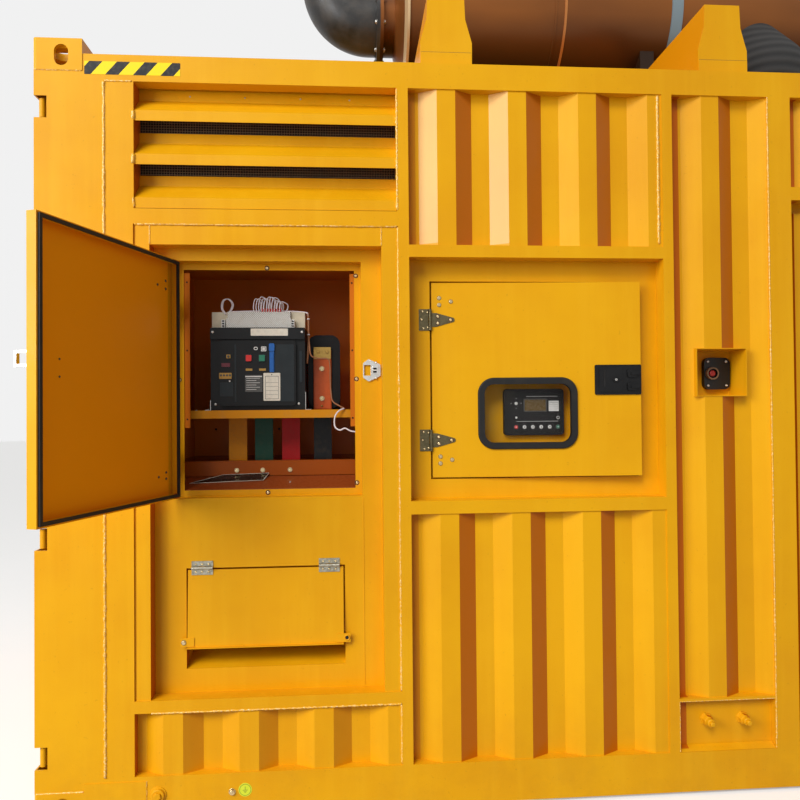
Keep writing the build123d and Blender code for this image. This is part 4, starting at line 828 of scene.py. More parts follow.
class CONTAINER_OT_finishes(bpy.types.Operator):
    """Make the finishes and paint the CAD pieces with them"""
    bl_idname = "container.finishes"
    bl_label = "Finishes"

    def execute(self, context):
        settings = context.scene.container_paint
        enamel = tuple(settings.enamel)
        made = [
            yellow_enamel(enamel),
            shelf_enamel(enamel),
            weld_metal(enamel),
            underseal(),
            wire_mesh(),
            moulded("breaker_black", srgb(14, 15, 16), 0.4),
            moulded("breaker_blue_grey", srgb(34, 40, 43), 0.42),
            moulded("cast_resin", srgb(11, 10, 10), 0.5, 200.0, 0.0008),
            moulded("latch_black", srgb(14, 14, 15), 0.36),
            moulded("controller_grey", srgb(30, 29, 29), 0.5),
            moulded("terminal_cream", srgb(206, 196, 172), 0.5),
            moulded("terminal_white", srgb(226, 226, 222), 0.45),
            stop_box(),
            busbar_sleeves(sleeve_edges(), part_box("breaker_shelf")[1].z),
            bare_metal("chrome_plate", (0.72, 0.70, 0.66), 0.16),
            hinge_zinc((0.14, 0.115, 0.06)),
            bare_metal("bright_screw", (0.62, 0.50, 0.28), 0.2),
            bare_metal("brass", (0.40, 0.25, 0.07), 0.3),
            bare_metal("steel_screw", (0.55, 0.53, 0.5), 0.28),
            door_foam(),
            pane(),
            heat_steel(tuple(settings.silencer_brown)),
            heat_black(),
            lagging(),
            hazard_tape(context.scene.container_fittings.bar_pitch),
            terminal_rows(),
            earth_label(),
            plain("tag_card", srgb(228, 222, 206), 0.6),
            plain("handle_blue", srgb(22, 96, 176), 0.4),
            plain("button_red", srgb(214, 44, 40), 0.35),
            plain("stop_red", srgb(158, 26, 18), 0.35),
            plain("button_green", srgb(30, 120, 92), 0.35),
            plain("label_amber", srgb(176, 136, 60), 0.5),
            plain("lens_maroon", srgb(96, 20, 38), 0.3),
            plain("print_pale", srgb(226, 226, 222), 0.5),
            plain("print_dark", srgb(70, 70, 68), 0.5),
            plain("wire_white", srgb(236, 228, 230), 0.45),
            plain("wire_tan", srgb(150, 98, 62), 0.5),
            plain("ferrule_red", srgb(190, 30, 24), 0.45),
            plain("screen_olive", srgb(96, 74, 30), 0.25),
            # Dark patches over holes and slots: painted shade inside them
            plain("hole_shade", srgb(12, 10, 9), 0.9),
            plain("washer_shade", srgb(70, 46, 22), 0.5),
            # The gland tray's enamel, darkened to orange-brown as painted shade
            plain("shaded_tray_enamel", srgb(146, 66, 16), 0.45),
            plain("folder_film", srgb(24, 20, 18), 0.2),
            plain("neutral_tape", srgb(196, 84, 16), 0.4),
        ]
        FINISHES.update({material.name.split(".")[0]: material for material in made})
        for entry in frame["record"]["subparts"]:
            mesh = frame["nodes"][entry["node"]].data
            mesh.materials.clear()
            mesh.materials.append(FINISHES[FINISH_OF_SLOT[entry["material_slot"]]])
        return {"FINISHED"}


def sleeve_edges():
    """Places along the row between one busbar and the next."""
    return tuple(side_x(e) for e in (747.5, 856.8, 978.8))


class CONTAINER_OT_welds(bpy.types.Operator):
    """Weld beads down the corner plates, the louvre and the service bays, and two thin strips over seams"""
    bl_idname = "container.welds"
    bl_label = "Weld beads"

    def execute(self, context):
        radius = context.scene.container_fittings.weld_radius / MM
        low, high = 168, 2740
        over, under = 2778, 119  # edges of the corner castings
        lines = [
            ((254, 4, low), (254, 4, high), radius * 1.7),
            ((1346, 6, 2272), (1346, 6, 2738), radius * 1.4),
            ((1347, 8, 1790), (1347, 8, 2206), radius * 1.3),
            ((1347, 8, 444), (1347, 8, 1790), radius * 1.5),
            ((2825, 4.5, 200), (2825, 4.5, high), radius),
            ((LENGTH - 254, 4, low), (LENGTH - 254, 4, high), radius * 1.7),
            ((6, 4, over), (176, 4, over), radius),
            ((6, 4, under), (176, 4, under), radius),
            ((LENGTH - 6, 4, over), (LENGTH - 176, 4, over), radius),
            ((LENGTH - 6, 4, under), (LENGTH - 176, 4, under), radius),
            ((258, 3.5, 2742), (356, 3.5, 2742), radius),
            ((401, 3.5, 20), (401, 3.5, 148), radius),
            ((LENGTH - 401, 3.5, 20), (LENGTH - 401, 3.5, 148), radius),
        ]
        for foot in (2272, 2436, 2600):
            lines.append(((360, 8, foot), (360, 8, foot + 34), radius * 1.9))
            lines.append(((1345, 7, foot), (1345, 7, foot + 34), radius * 1.7))
        near = [
            ((420, 4.5, 395), (1346, 4.5, 395), radius * 1.1),
            ((1347, 8, 172), (1347, 8, 392), radius * 1.4),
            ((2376, 9, 2152), (2376, 9, 2738), radius * 1.7),
            ((364, 6.5, 2209), (1343, 6.5, 2209), radius * 1.1),
            ((418, 8, 2136), (418, 8, 2207), radius * 0.7),
            ((1283, 8, 2136), (1283, 8, 2207), radius * 0.7),
        ]
        shape = Shape()
        for count, (start, end, size) in enumerate(lines + near):
            shape.bead(start, end, size, 0, count)
            if count < len(lines):
                far = [(e, WIDTH - max(v, size * 1.5), z) for e, v, z in (start, end)]
                shape.bead(*far, size, 0, count + 50)
        shape.object("weld_beads", CONTAINER, ["painted_weld"])
        strips = Shape()
        strips.plate((1206, 1210), (446, 1166), 71.6, 2.4, 0.8)
        strips.plate((356, 369), (442, 2207), 11.2, 2.0, 0.8)
        strips.object("cabinet_seams", CONTAINER, ["yellow_enamel"], 0.4)
        return {"FINISHED"}


class CONTAINER_OT_hazard_stripe(bpy.types.Operator):
    """Black and yellow hazard stripe on the top rail"""
    bl_idname = "container.hazard_stripe"
    bl_label = "Hazard stripe"

    def execute(self, context):
        shape = Shape()
        shape.plate((185, 534), (2765, 2814), 2.2, 0.7, 1.0)
        shape.object("hazard_stripe", CONTAINER, ["hazard_tape"])
        return {"FINISHED"}


class CONTAINER_OT_louvre_screws(bpy.types.Operator):
    """Small screws along the louvre's top strip"""
    bl_idname = "container.louvre_screws"
    bl_label = "Louvre screws"

    def execute(self, context):
        shape = Shape()
        shape.screws(80, [(e, 2723) for e in (553, 762, 976, 1166)], 3.2)
        shape.object("louvre_screws", CONTAINER, ["steel_screw"])
        return {"FINISHED"}


class CONTAINER_OT_cabinet_fixings(bpy.types.Operator):
    """Screws round the breaker opening and in its strips and hinges, and the latch keeper's jaw"""
    bl_idname = "container.cabinet_fixings"
    bl_label = "Cabinet fixings"

    def execute(self, context):
        size = context.scene.container_fittings.flange_screw / MM
        shape = Shape()
        places = ((838, 2070), (1186, 2041), (1186, 1632), (1185, 1222), (837, 1189), (498, 1632))
        shape.screws(FLANGE_PLANE, places, size, 0, 1)
        shape.object("flange_bolts", CONTAINER, ["bright_screw", "washer_shade"])
        self.keeper()
        holes = Shape()
        # Dark screw holes in the strips and deeper in the cabinet: painted shade inside them
        holes.screws(FLANGE_PLANE + 3, [(e, z) for e in (528, 1170) for z in (2013, 1746, 1478)], 3.4)
        holes.screws(537, ((560, 1428), (840, 1427)), 5)
        holes.object("strip_screws", CONTAINER, ["hole_shade"])
        heads = Shape()
        heads.screws(LEAF_PLANE, leaf_places(460), 5.5)
        for rise in CONTROL_HINGES:
            places = ((1446, 33), (1465, 30), (1442, 1), (1449, -33), (1466, -30))
            heads.screws(LEAF_PLANE, [(e, rise + lift) for e, lift in places], 4.6)
        heads.screws(LEAF_PLANE, flap_leaf_places(926), 4.2)
        heads.object("fixed_hinge_screws", CONTAINER, ["bright_screw"])
        return {"FINISHED"}

    @staticmethod
    def keeper():
        """Jaw of the latch keeper, its base plate and its fixings."""
        keeper = Shape()
        chrome, dark = range(2)
        keeper.frame((1213, 1243), (1640, 1686), 65.6, 1.6, 3.0, 2.4, chrome)
        keeper.plate((1246, 1272), (1648, 1678), 62.0, 5.2, 4.0, chrome)
        # A dark plate in the jaw's mouth: painted shade in the opening
        keeper.plate((1250, 1264), (1653, 1673), 60.4, 1.8, 3.0, dark)
        keeper.rod((1250, 60.8, 1663), (1266, 60.8, 1663), 3.2, chrome)
        for z, rivet in ((1693, 1699), (1633, 1627)):
            keeper.screw((1262, 67, z), OUT, 5.0, chrome)
            keeper.lathe((1240, 67, rivet), OUT, [(0, 4.0), (1.4, 3.6)], chrome, 14)
        keeper.object("keeper_jaw", CONTAINER, ["chrome_plate", "hole_shade"], 0.6)


def leaf_places(e):
    """Places of the screws in the breaker door's hinge leaves, at one place along the side."""
    return [(e, low + rise) for low in BREAKER_HINGES for rise in BREAKER_LEAF_SCREWS]


def flap_leaf_places(z):
    """Places of the screws in the flap's hinge leaves, at one height."""
    return [(left + shift, z) for left in FLAP_HINGES for shift in FLAP_LEAF_SCREWS]


class CONTAINER_OT_breaker_face(bpy.types.Operator):
    """Buttons, charging handle, indicators and plates on the circuit breaker"""
    bl_idname = "container.breaker_face"
    bl_label = "Breaker face"

    def execute(self, context):
        front = 185.5
        face = Shape()
        black, blue_grey, pale, card, blue, red, green, amber, maroon, dark = range(10)
        face.plates(front, (
            ((603, 979), (1797, 1844), -3.5, 10.5, 3.0, black),
            ((855, 936), (1546, 1776), 1.2, 1.4, 4.0, blue_grey),
            ((700, 706), (1546, 1776), 0.8, 1.0, 0.5, blue_grey),
            ((642, 694), (1568, 1624), 1.0, 1.2, 2.0, blue_grey),
            ((741, 810), (1585, 1653), 1.0, 1.2, 1.5, dark),
            ((742, 808), (1645, 1649), 1.4, 0.6, 0, pale),
            ((764, 912), (1811, 1840), -2.3, 1.4, 2.0, card),
            ((742, 770), (1705, 1736), 2.0, 2.2, 3.0, blue_grey),
            ((745, 767), (1708, 1733), 6.0, 5.0, 3.0, red),
            ((794, 823), (1705, 1736), 2.0, 2.2, 3.0, blue_grey),
            ((797, 820), (1708, 1733), 6.0, 5.0, 3.0, green),
            ((837, 859), (1748, 1779), 9.0, 10.0, 5.0, blue),
            ((839, 857), (1664, 1752), 6.0, 7.0, 3.0, blue),
            ((842, 854), (1670, 1742), 8.0, 3.0, 2.0, blue),
            ((744, 770), (1670, 1679), 1.4, 1.6, 1.0, amber),
            ((797, 824), (1670, 1679), 1.4, 1.6, 1.0, amber),
            ((810, 821), (1752, 1763), 1.4, 1.5, 1.0, pale),
            ((668, 684), (1720, 1735), 3.0, 3.0, 2.0, amber),
            ((648, 682), (1686, 1701), 1.6, 1.8, 2.0, maroon),
            ((639, 688), (1638, 1662), 1.6, 1.8, 1.5, amber),
            ((814, 881), (1549, 1661), 3.4, 0.8, 3.0, card),
            ((957, 968), (1624, 1750), -11.0, 3.2, 2.0, blue_grey),
        ))
        for row in range(6):
            foot = 1594 + 9 * row
            face.plate((746, 786 + 14 * (row % 2)), (foot, foot + 1.6), front - 1.4, 0.6, 0, pale)
        for row in range(4):
            foot = 1574 + 16 * row
            face.plate((824, 871), (foot, foot + 0.8), front - 3.8, 0.5, 0, dark)
        face.frame((761, 915), (1808, 1843), 188.2, 1.0, 3.0, 2.5, blue_grey)
        face.frame((776, 792), (1753, 1766), front - 1.8, 2.0, 6.0, 3.0, pale)
        face.frame((805, 826), (1748, 1767), front - 1.8, 2.0, 2.0, 3.0, pale)
        face.frame((821, 874), (1556, 1648), front - 3.8, 0.5, 1.0, 1.4, dark)
        face.lathe((676, front - 3, 1727.5), OUT, [(0, 5), (3, 4.6), (3.6, 3.4)], dark, 16)
        for e in (646, 658, 670, 682):
            face.lathe((e, front - 1.6, 1652), OUT, [(0, 4.4), (1.4, 4.0)], dark, 14)
        face.lathe((680, front, 1628.7), OUT, [(0, 3.6), (1.6, 3.2), (2.4, 2.0)], pale, 14)
        face.lathe((847, front - 3.4, 1654), OUT, [(0, 2.6), (0.5, 2.4)], dark, 12)
        face.screws(front + 3.5, ((613, 1826), (968, 1826)), 5.0, pale)
        face.screws(front + 14, ((622, 1537), (953, 1537)), 5.0, pale)
        names = ["breaker_black", "breaker_blue_grey", "print_pale", "tag_card", "handle_blue", "button_red",
                 "button_green", "label_amber", "lens_maroon", "print_dark"]
        face.object("breaker_face", CONTAINER, names, 0.5)
        return {"FINISHED"}


class CONTAINER_OT_terminals(bpy.types.Operator):
    """Rows of wire terminals on top of the circuit breaker"""
    bl_idname = "container.terminals"
    bl_label = "Terminals"

    def execute(self, context):
        shape = Shape()
        cream, rows, white, dark = range(4)
        foot = 1844.3
        shape.block((603.6, 978.4), (226, 287), (foot, 1910.6), cream)
        shape.block((663.6, 924.4), (203, 226), (foot, 1882.6), rows)
        shape.block((668, 920), (214, 226), (1882.6, 1911), rows)
        for e in (652, 930):
            shape.block((e - 7, e + 7), (205, 226), (foot, 1878), white)
            # Dark blocks in the white ends: painted shade in their screw holes
            for z in (1852, 1862, 1872):
                shape.block((e - 4, e + 4), (202, 206), (z - 2.5, z + 2.5), dark)
        names = ["terminal_cream", "terminal_holes", "terminal_white", "hole_shade"]
        shape.object("terminal_rows", CONTAINER, names, 0.8)
        return {"FINISHED"}


class CONTAINER_OT_wires(bpy.types.Operator):
    """Control wires in loops over the terminals and down to the shelf"""
    bl_idname = "container.wires"
    bl_label = "Control wires"

    def execute(self, context):
        radius = context.scene.container_fittings.wire_radius / MM
        chance = random.Random(4)
        shape = Shape()
        white, red, tan, clip = range(4)
        for i in range(11):
            e = 775 + i * 10.5
            tall = 1962 + 10 * chance.random() - 14 * (i > 7)
            back = 236 + 6 * chance.random()
            lean = 10 + 10 * chance.random()
            loop = [(e, 222, 1909), (e - 4, 219, 1930), (e + lean * 0.2, 224, tall),
                    (e + lean + 7, 230, tall - 8), (e + lean + 9, back, 1930), (e + lean, back, 1910)]
            shape.tube(loop, radius, white)
            if i > 2:
                shape.tube([(e, 221.5, 1909), (e, 220, 1917), (e - 0.8, 219.4, 1925)], radius * 1.5, red, 8)
        for shift in (0, 5):
            loop = ((658, 224.5, 1900), (643, 221, 1925), (648, 224, 1957), (668, 228, 1964),
                    (684, 230, 1944), (678, 232, 1922), (670, 233, 1911))
            shape.tube([(e + shift, v, z) for e, v, z in loop], radius, white)
        shape.tube([(676, 236, 1913.5), (760, 238, 1916), (850, 240, 1917), (940, 238, 1915),
                    (985, 230, 1909), (991, 224, 1898)], radius * 1.6, white)
        shape.tube([(991, 226, 1906), (993, 224, 1860), (992, 222, 1780), (986, 222, 1700)], 4.2, tan)
        shape.tube([(993, 222, 1815), (997, 215, 1770), (1003, 214, 1733), (1030, 222, 1722),
                    (1071, 226, 1719), (1079, 226, 1690), (1080, 222, 1637), (1083, 214, 1580),
                    (1090, 196, 1545), (1118, 176, 1526), (1131, 164, 1519), (1136, 160, 1513.6)],
                   radius * 1.5, tan)
        shape.tube([(1136, 160, 1515.5), (1118, 150, 1508), (1103, 142, 1491), (1097, 138, 1466),
                    (1101, 134, 1441), (1119, 131, 1430), (1139, 130, 1437), (1162, 130, 1426),
                    (1194, 131, 1421)], radius * 1.5, white)
        for z in (1880, 1816):
            shape.lathe((993, 223, z), (0, 0, 1), [(0, 5.6), (5, 5.6)], clip, 14)
        names = ["wire_white", "ferrule_red", "wire_tan", "wire_white"]
        shape.object("control_wires", CONTAINER, names)
        return {"FINISHED"}


class CONTAINER_OT_busbar_bolts(bpy.types.Operator):
    """Bolts of the busbar support and the neutral bar with its brass plate"""
    bl_idname = "container.busbar_bolts"
    bl_label = "Busbar bolts"

    def execute(self, context):
        shape = Shape()
        screw, brass, tape = range(3)
        shape.bolts(259.5, ((695, 1266), (800, 1266), (911, 1266)), 9, screw)
        front = 299.5
        shape.plate((1009, 1081), (1724, 1774), front - 4.5, 4.2, 3.0, brass)
        shape.bolts(front - 4.5, ((1028, 1754), (1065, 1754)), 8, brass)
        shape.plate((1011, 1079), (1516, 1724), front - 2.5, 2.2, 1.0, tape)
        for z in (1664, 1579):
            shape.plate((1010, 1080), (z - 1.5, z + 1.5), front - 3.4, 0.8, 0, tape)
        shape.bolts(front - 2.5, ((1043, 1684), (1043, 1559)), 10, screw)
        shape.screw((1042, front - 2.5, 1527), OUT, 5, brass)
        names = ["bright_screw", "brass", "neutral_tape"]
        shape.object("busbar_bolts", CONTAINER, names, 0.3)
        return {"FINISHED"}


class CONTAINER_OT_shelf_fittings(bpy.types.Operator):
    """Brackets beside the breaker, gland tray and document folder on the cabinet's floor"""
    bl_idname = "container.shelf_fittings"
    bl_label = "Shelf fittings"

    def execute(self, context):
        shape = Shape()
        shelf = 1512.3
        sheet = 2
        shape.block((579, 603), (200, 216), (shelf, shelf + sheet))
        shape.block((600.6, 602.6), (200, 216), (shelf + sheet, 1552))
        shape.block((979.6, 981.6), (196, 212), (shelf + sheet, 1584))
        shape.block((979.6, 1003), (196, 212), (shelf, shelf + sheet))
        shape.bolt((590, 208, shelf + sheet), (0, 0, 1), 4)
        shape.screw((548, 190, shelf), (0, 0, 1), 5)
        shape.object("shelf_bracket", CONTAINER, ["steel_screw"])
        # The gland tray's dark orange is painted shade
        tray = Shape()
        left, right = 467, 1216
        tray.outline([(left, 124, 1203.4), (right, 124, 1203.4), (right, 258.6, 1241), (left, 258.6, 1241)],
                     (0, 0, -2))
        tray.outline([(left, 124, 1201.4), (right, 124, 1201.4), (right, 126, 1165), (left, 126, 1165)],
                     (0, 2, 0))
        tray.screw((917, 190, 1221.8), (0, -0.27, 1), 4.5, 1)
        tray.object("gland_tray", CONTAINER, ["shaded_tray_enamel", "steel_screw"], 0.6)
        folder = Shape()
        sheet = [(520, 186, 1221.4), (808, 206, 1228), (826, 256, 1252), (640, 257, 1247)]
        folder.outline(sheet, (0, -0.2, 1.6), 1)
        for a, b in zip(sheet, sheet[1:] + sheet[:1]):
            folder.tube([(a[0], a[1], a[2] + 1.4), (b[0], b[1], b[2] + 1.4)], 1.3, 0, 8)
        folder.object("document_folder", CONTAINER, ["tag_card", "folder_film"])
        return {"FINISHED"}


class CONTAINER_OT_breaker_door_details(bpy.types.Operator):
    """Screws on the inside of the breaker door and in its hinges, and its strike with two bolts"""
    bl_idname = "container.breaker_door_details"
    bl_label = "Breaker door details"

    def execute(self, context):
        inwards = (0, 1, 0)
        shape = Shape()
        wide = ((576, 1977), (525, 1999), (525, 1969), (573, 1269), (526, 1282), (526, 1259))
        small = ((1073, 1669), (1073, 1616))
        # The screws take the dark shade colour: painted shade on the open door's lining
        for places, size in ((wide, 5.0), (small, 3.6)):
            for e, z in places:
                shape.screw((e, 75, z), inwards, size)
        shape.object("door_inner_screws", BREAKER_DOOR, ["washer_shade"])
        strike = Shape()
        jaw, (foot, top) = (1179.9, 1193.1), (1639.4, 1686.6)
        strike.block(jaw, (24.4, 32.6), (foot, top))
        strike.block(jaw, (32.6, 72.9), (top - 8.2, top))
        strike.block(jaw, (32.6, 72.9), (foot, foot + 8.2))
        strike.plate((1172, 1197), (1630, 1696), 71.6, 1.3, 4.0)
        strike.object("strike_plate", BREAKER_DOOR, ["chrome_plate"], 1.0)
        heads = Shape()
        heads.screws(LEAF_PLANE, leaf_places(500), 5.5)
        heads.bolts(DOOR_PLANE, ((1180, 1710), (1180, 1616)), 6)
        heads.object("door_hinge_screws", BREAKER_DOOR, ["passivated_zinc"])
        return {"FINISHED"}


class CONTAINER_OT_flap_bolts(bpy.types.Operator):
    """Bolt and painted hub in the flap's ears, and screws in its hinges"""
    bl_idname = "container.flap_bolts"
    bl_label = "Flap bolts"

    def execute(self, context):
        shape = Shape()
        screw, washer, hole, enamel = range(4)
        # washer: the finish of a dark disc of painted shade round the bolt
        shape.bolt((526, 70, 635), OUT, 8, screw, washer)
        shape.lathe((1142, 70, 635), OUT, [(0, 11.5), (2.0, 11.0), (2.4, 8.0), (0.6, 7.4)], enamel, 24)
        # Dark disc in the hub's hole: painted shade
        shape.lathe((1142, 69.6, 635), OUT, [(0, 6.6), (0.3, 6.4)], hole, 20)
        shape.screws(LEAF_PLANE, flap_leaf_places(898), 4.2, screw)
        names = ["bright_screw", "washer_shade", "hole_shade", "yellow_enamel"]
        shape.object("flap_bolts", FLAP, names)
        return {"FINISHED"}


class CONTAINER_OT_control_door_fittings(bpy.types.Operator):
    """Screws of the strap hinges, bolt groups beside them and the latch's slot, lock and ears"""
    bl_idname = "container.control_door_fittings"
    bl_label = "Control door fittings"

    def execute(self, context):
        shape = Shape()
        for rise in CONTROL_HINGES:
            shape.screws(LEAF_PLANE, ((1505, rise + 13), (1505, rise - 13), (1555, rise)), 6.4, 0, 1)
        places = ((1511, 1946), (1511, 1919), (1557, 1932), (1511, 1324), (1511, 1297), (1557, 1311))
        shape.bolts(DOOR_PLANE, places, 7.0, 0, 1)
        shape.object("control_door_screws", CONTROL_DOOR, ["bright_screw", "washer_shade"])
        latch = Shape()
        body, hole, glint = range(3)
        latch.frame((2122.5, 2305.5), (1561.5, 1678.5), 67.6, 1.6, 6.0, 4.0, body)
        # Dark plate in the latch's slot: painted shade inside it
        latch.plate((2156, 2163), (1590, 1658), 65.6, 0.6, 3.0, hole)
        latch.frame((2154, 2165), (1588, 1660), 65.2, 1.0, 4.0, 2.0, body)
        latch.lathe((2204.8, 64, 1620), OUT, [(0, 12.5), (1.2, 11.8), (1.4, 8.6), (0.4, 8.4)], body, 24)
        latch.lathe((2204.8, 63.6, 1620), OUT, [(0, 4.6), (1.0, 4.2)], glint, 16)
        # Dark plate in the keyway: painted shade inside it
        latch.plate((2203.8, 2205.8), (1617, 1623), 62.5, 0.5, 0.8, hole)
        for low in (1577, 1629):
            latch.plate((2250, 2287), (low, low + 31), 61.0, 8.0, 8.0, body)
            latch.plate((2262, 2296), (low + 9, low + 22), 57.0, 6.0, 4.0, body)
            latch.lathe((2258, 61, low + 15.5), OUT, [(0, 4.5), (1.2, 4.2)], body, 14)
        names = ["latch_black", "hole_shade", "chrome_plate"]
        latch.object("latch_details", CONTROL_DOOR, names, 0.6)
        return {"FINISHED"}


class CONTAINER_OT_controller_face(bpy.types.Operator):
    """Screen, keys and indicators of the controller"""
    bl_idname = "container.controller_face"
    bl_label = "Controller face"

    def execute(self, context):
        front = 115.0
        shape = Shape()
        body, screen, pale, red, green, dark = range(6)
        shape.frame((1776, 2019), (1403, 1587), front - 3.5, 4.0, 14.0, 6.0, body)
        shape.frame((1855, 1950), (1496, 1549), front - 2.2, 2.4, 3.0, 4.0, dark)
        shape.plates(front, (
            ((1859, 1946), (1500, 1545), 0.9, 1.0, 1.0, screen),
            ((1958, 1999), (1498, 1540), 1.2, 1.4, 1.5, pale),
            ((1866, 1994), (1557, 1558.6), 0.5, 0.6, 0, pale),
            ((1825, 1996), (1457, 1458.2), 0.5, 0.6, 0, pale),
        ))
        for row in range(1, 5):
            middle = 1498 + 8.4 * row
            shape.plate((1959, 1998), (middle - 0.5, middle + 0.5), front - 1.5, 0.5, 0, dark)
        shape.lathe((1825, front, 1530), OUT, [(0, 6.5), (1.6, 6.0), (2.2, 3.0)], pale, 20)
        for e, z in ((1805, 1530), (1845, 1530), (1825, 1510), (1825, 1550)):
            shape.lathe((e, front, z), OUT, [(0, 2.4), (0.8, 2.0)], pale, 3)
        shape.lathe((1825, front, 1473), OUT, [(0, 4.6), (1.2, 4.0)], pale, 16)
        shape.lathe((1996, front, 1472), OUT, [(0, 6.4), (1.2, 6.0), (1.2, 4.6), (0.2, 4.4)], pale, 20, False)
        keys = ((1824, red), (1858, pale), (1892, pale), (1926, pale), (1961, pale), (1995, green))
        for e, colour in keys:
            sign = dark if colour == pale else pale
            shape.lathe((e, front, 1435), OUT, [(0, 9.6), (1.4, 9.2), (1.6, 7.4)], dark, 24)
            shape.lathe((e, front - 1.4, 1435), OUT, [(0, 7.2), (1.6, 6.8), (2.2, 5.0)], colour, 24)
            shape.lathe((e, front - 3.4, 1435), OUT, [(0, 2.6), (0.5, 2.4)], sign, 12)
        names = ["controller_grey", "screen_olive", "print_pale", "button_red", "button_green", "print_dark"]
        shape.object("controller_face", CONTAINER, names, 0.4)
        return {"FINISHED"}


class CONTAINER_OT_stop_button(bpy.types.Operator):
    """Screws of the stop button's housing and a ring round the button"""
    bl_idname = "container.stop_button"
    bl_label = "Stop button trim"

    def execute(self, context):
        shape = Shape()
        screw, red = range(2)
        shape.screws(110, [(e, z) for e in (2622, 2699) for z in (1597, 1695)], 5.5, screw)
        ring = [(0, 12.6), (2.0, 12.2), (3.4, 10.6), (4.0, 7.0), (3.2, 4.0)]
        shape.lathe((STOP_BUTTON[0], 102, STOP_BUTTON[1]), OUT, ring, red, 28)
        shape.object("stop_button_trim", CONTAINER, ["steel_screw", "stop_red"])
        return {"FINISHED"}


class CONTAINER_OT_rail_fittings(bpy.types.Operator):
    """Earth bolt with its round label and the stub on the bottom rail, and the drain plate's fittings"""
    bl_idname = "container.rail_fittings"
    bl_label = "Rail fittings"

    def execute(self, context):
        shape = Shape()
        shape.bolt((712, 3, 96), OUT, 12)
        shape.lathe((712, -2, 96), OUT, [(0, 6.5), (1.4, 6.5), (1.6, 5.4)], 0, 14)
        shape.object("earth_bolt", CONTAINER, ["bright_screw"])
        label = Shape()
        label.lathe((EARTH_SIGN[0], 3, EARTH_SIGN[1]), OUT, [(0, 25), (0.8, 24.6)], 0, 40)
        label.object("earth_label", CONTAINER, ["earth_label"])
        stub = Shape()
        stub.lathe((444, 3, 98), OUT, [(0, 30), (3.0, 29), (3.4, 24), (11.0, 23), (12.5, 20)], 0, 28)
        stub.lathe((444, -9, 98), OUT, [(0, 14), (7.0, 13.6), (8.0, 11)], 0, 6)
        stub.object("rail_stub", CONTAINER, ["yellow_enamel"], 0.4)
        self.port(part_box("port_plate"))
        return {"FINISHED"}

    @staticmethod
    def port(box):
        """Recessed drain plate with a pale rim and two stepped fittings, in place of the plain CAD one."""
        low, high = ((corner - CORNER) / MM for corner in box)
        left, right, foot, top = low.x, high.x, low.z, high.z
        port = Shape()
        enamel, weld = range(2)
        port.plate((left, right), (top - 10, top), 3.0, high.y - 3.0, 0, enamel)
        port.plate((left, right), (foot, top - 10), 40.0, 3.0, 0, enamel)
        for e in (left + 1, right - 1):
            port.bead((e, 5, foot + 2), (e, 5, top - 12), 2.6, weld, 7)
        wedge = [(left + 1, 39, foot + 0.5), (left + 1, 5, foot + 0.5), (left + 1, 39, foot + 14)]
        port.outline(wedge, (right - left - 2, 0, 0), enamel)
        port.bead((left + 2, 4, top - 10), (right - 2, 4, top - 10), 2.0, weld, 9)
        for e in (2556, 2704):
            port.lathe((e, 40, 275), OUT, [(0, 26), (4, 25), (4.4, 21), (26, 20.4), (28, 17)], enamel, 6)
            port.lathe((e, 13, 275), OUT, [(0, 16), (16, 15.6), (18, 13)], enamel, 16)
            port.lathe((e, -4, 275), OUT, [(0, 11), (12, 10.6), (14, 8)], enamel, 6)
        names = ["yellow_enamel", "painted_weld"]
        made = port.object("port_plate_detail", CONTAINER, names, 0.5)
        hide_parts("port_plate")


class CONTAINER_OT_silencer_fittings(bpy.types.Operator):
    """Bolts of the exhaust flanges and the silencer's saddles, and the plates that close the saddles' feet"""
    bl_idname = "container.silencer_fittings"
    bl_label = "Silencer fittings"

    def execute(self, context):
        shape = Shape()
        flange = (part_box("outlet_elbow")[1].x - CORNER.x) / MM
        low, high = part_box("silencer")
        middle = ((low + high) / 2 - CORNER) / MM
        circle, half_thickness = 172, 17
        for i in range(8):
            turn = math.tau * (i + 0.5) / 8
            v, z = middle.y + circle * math.cos(turn), middle.z + circle * math.sin(turn)
            for side in (-1, 1):
                shape.bolt((flange + half_thickness * side, v, z), (side, 0, 0), 12)
        shape.object("exhaust_flange_bolts", CONTAINER, ["steel_screw"])
        saddle = Shape()
        for left in SADDLES:
            for e in (left + 22, left + SADDLE_WIDTH - 22):
                for v in (60, WIDTH - 60):
                    saddle.bolt((e, v, 2897), (0, 0, 1), 14)
        saddle.object("saddle_bolts", CONTAINER, ["bright_screw"])
        feet = Shape()
        enamel, shade = range(2)
        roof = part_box("silencer_saddles")[0].z / MM
        for left in SADDLES:
            right = left + SADDLE_WIDTH
            for v in (24, WIDTH - 29):
                feet.plate((left + 1, right - 1), (roof + 1, roof + 54), v, 5, 1.5, enamel)
                feet.plate((left + 3, right - 3), (roof + 53.5, roof + 55.5), v + 0.6, 3.8, 0.5, shade)
        feet.object("saddle_foot_plates", CONTAINER, ["yellow_enamel", "washer_shade"], 0.6)
        return {"FINISHED"}


class CONTAINER_OT_cargo_seals(bpy.types.Operator):
    """Rubber seals round the cargo doors"""
    bl_idname = "container.cargo_seals"
    bl_label = "Cargo door seals"

    def execute(self, context):
        shape = Shape()
        middle = WIDTH / 2
        low, high = 168, 2739
        uprights = ((117, 126), (middle - 8, middle), (middle - 1, middle + 8), (WIDTH - 125, WIDTH - 118))
        for upright in uprights:
            shape.block((40, 47), upright, (low, high))
        for door in ((118, middle), (middle, WIDTH - 118)):
            for foot in (low, high - 9):
                shape.block((40, 47), door, (foot, foot + 9))
        shape.object("cargo_seals", CONTAINER, ["sealing_rubber"], 1.2)
        return {"FINISHED"}


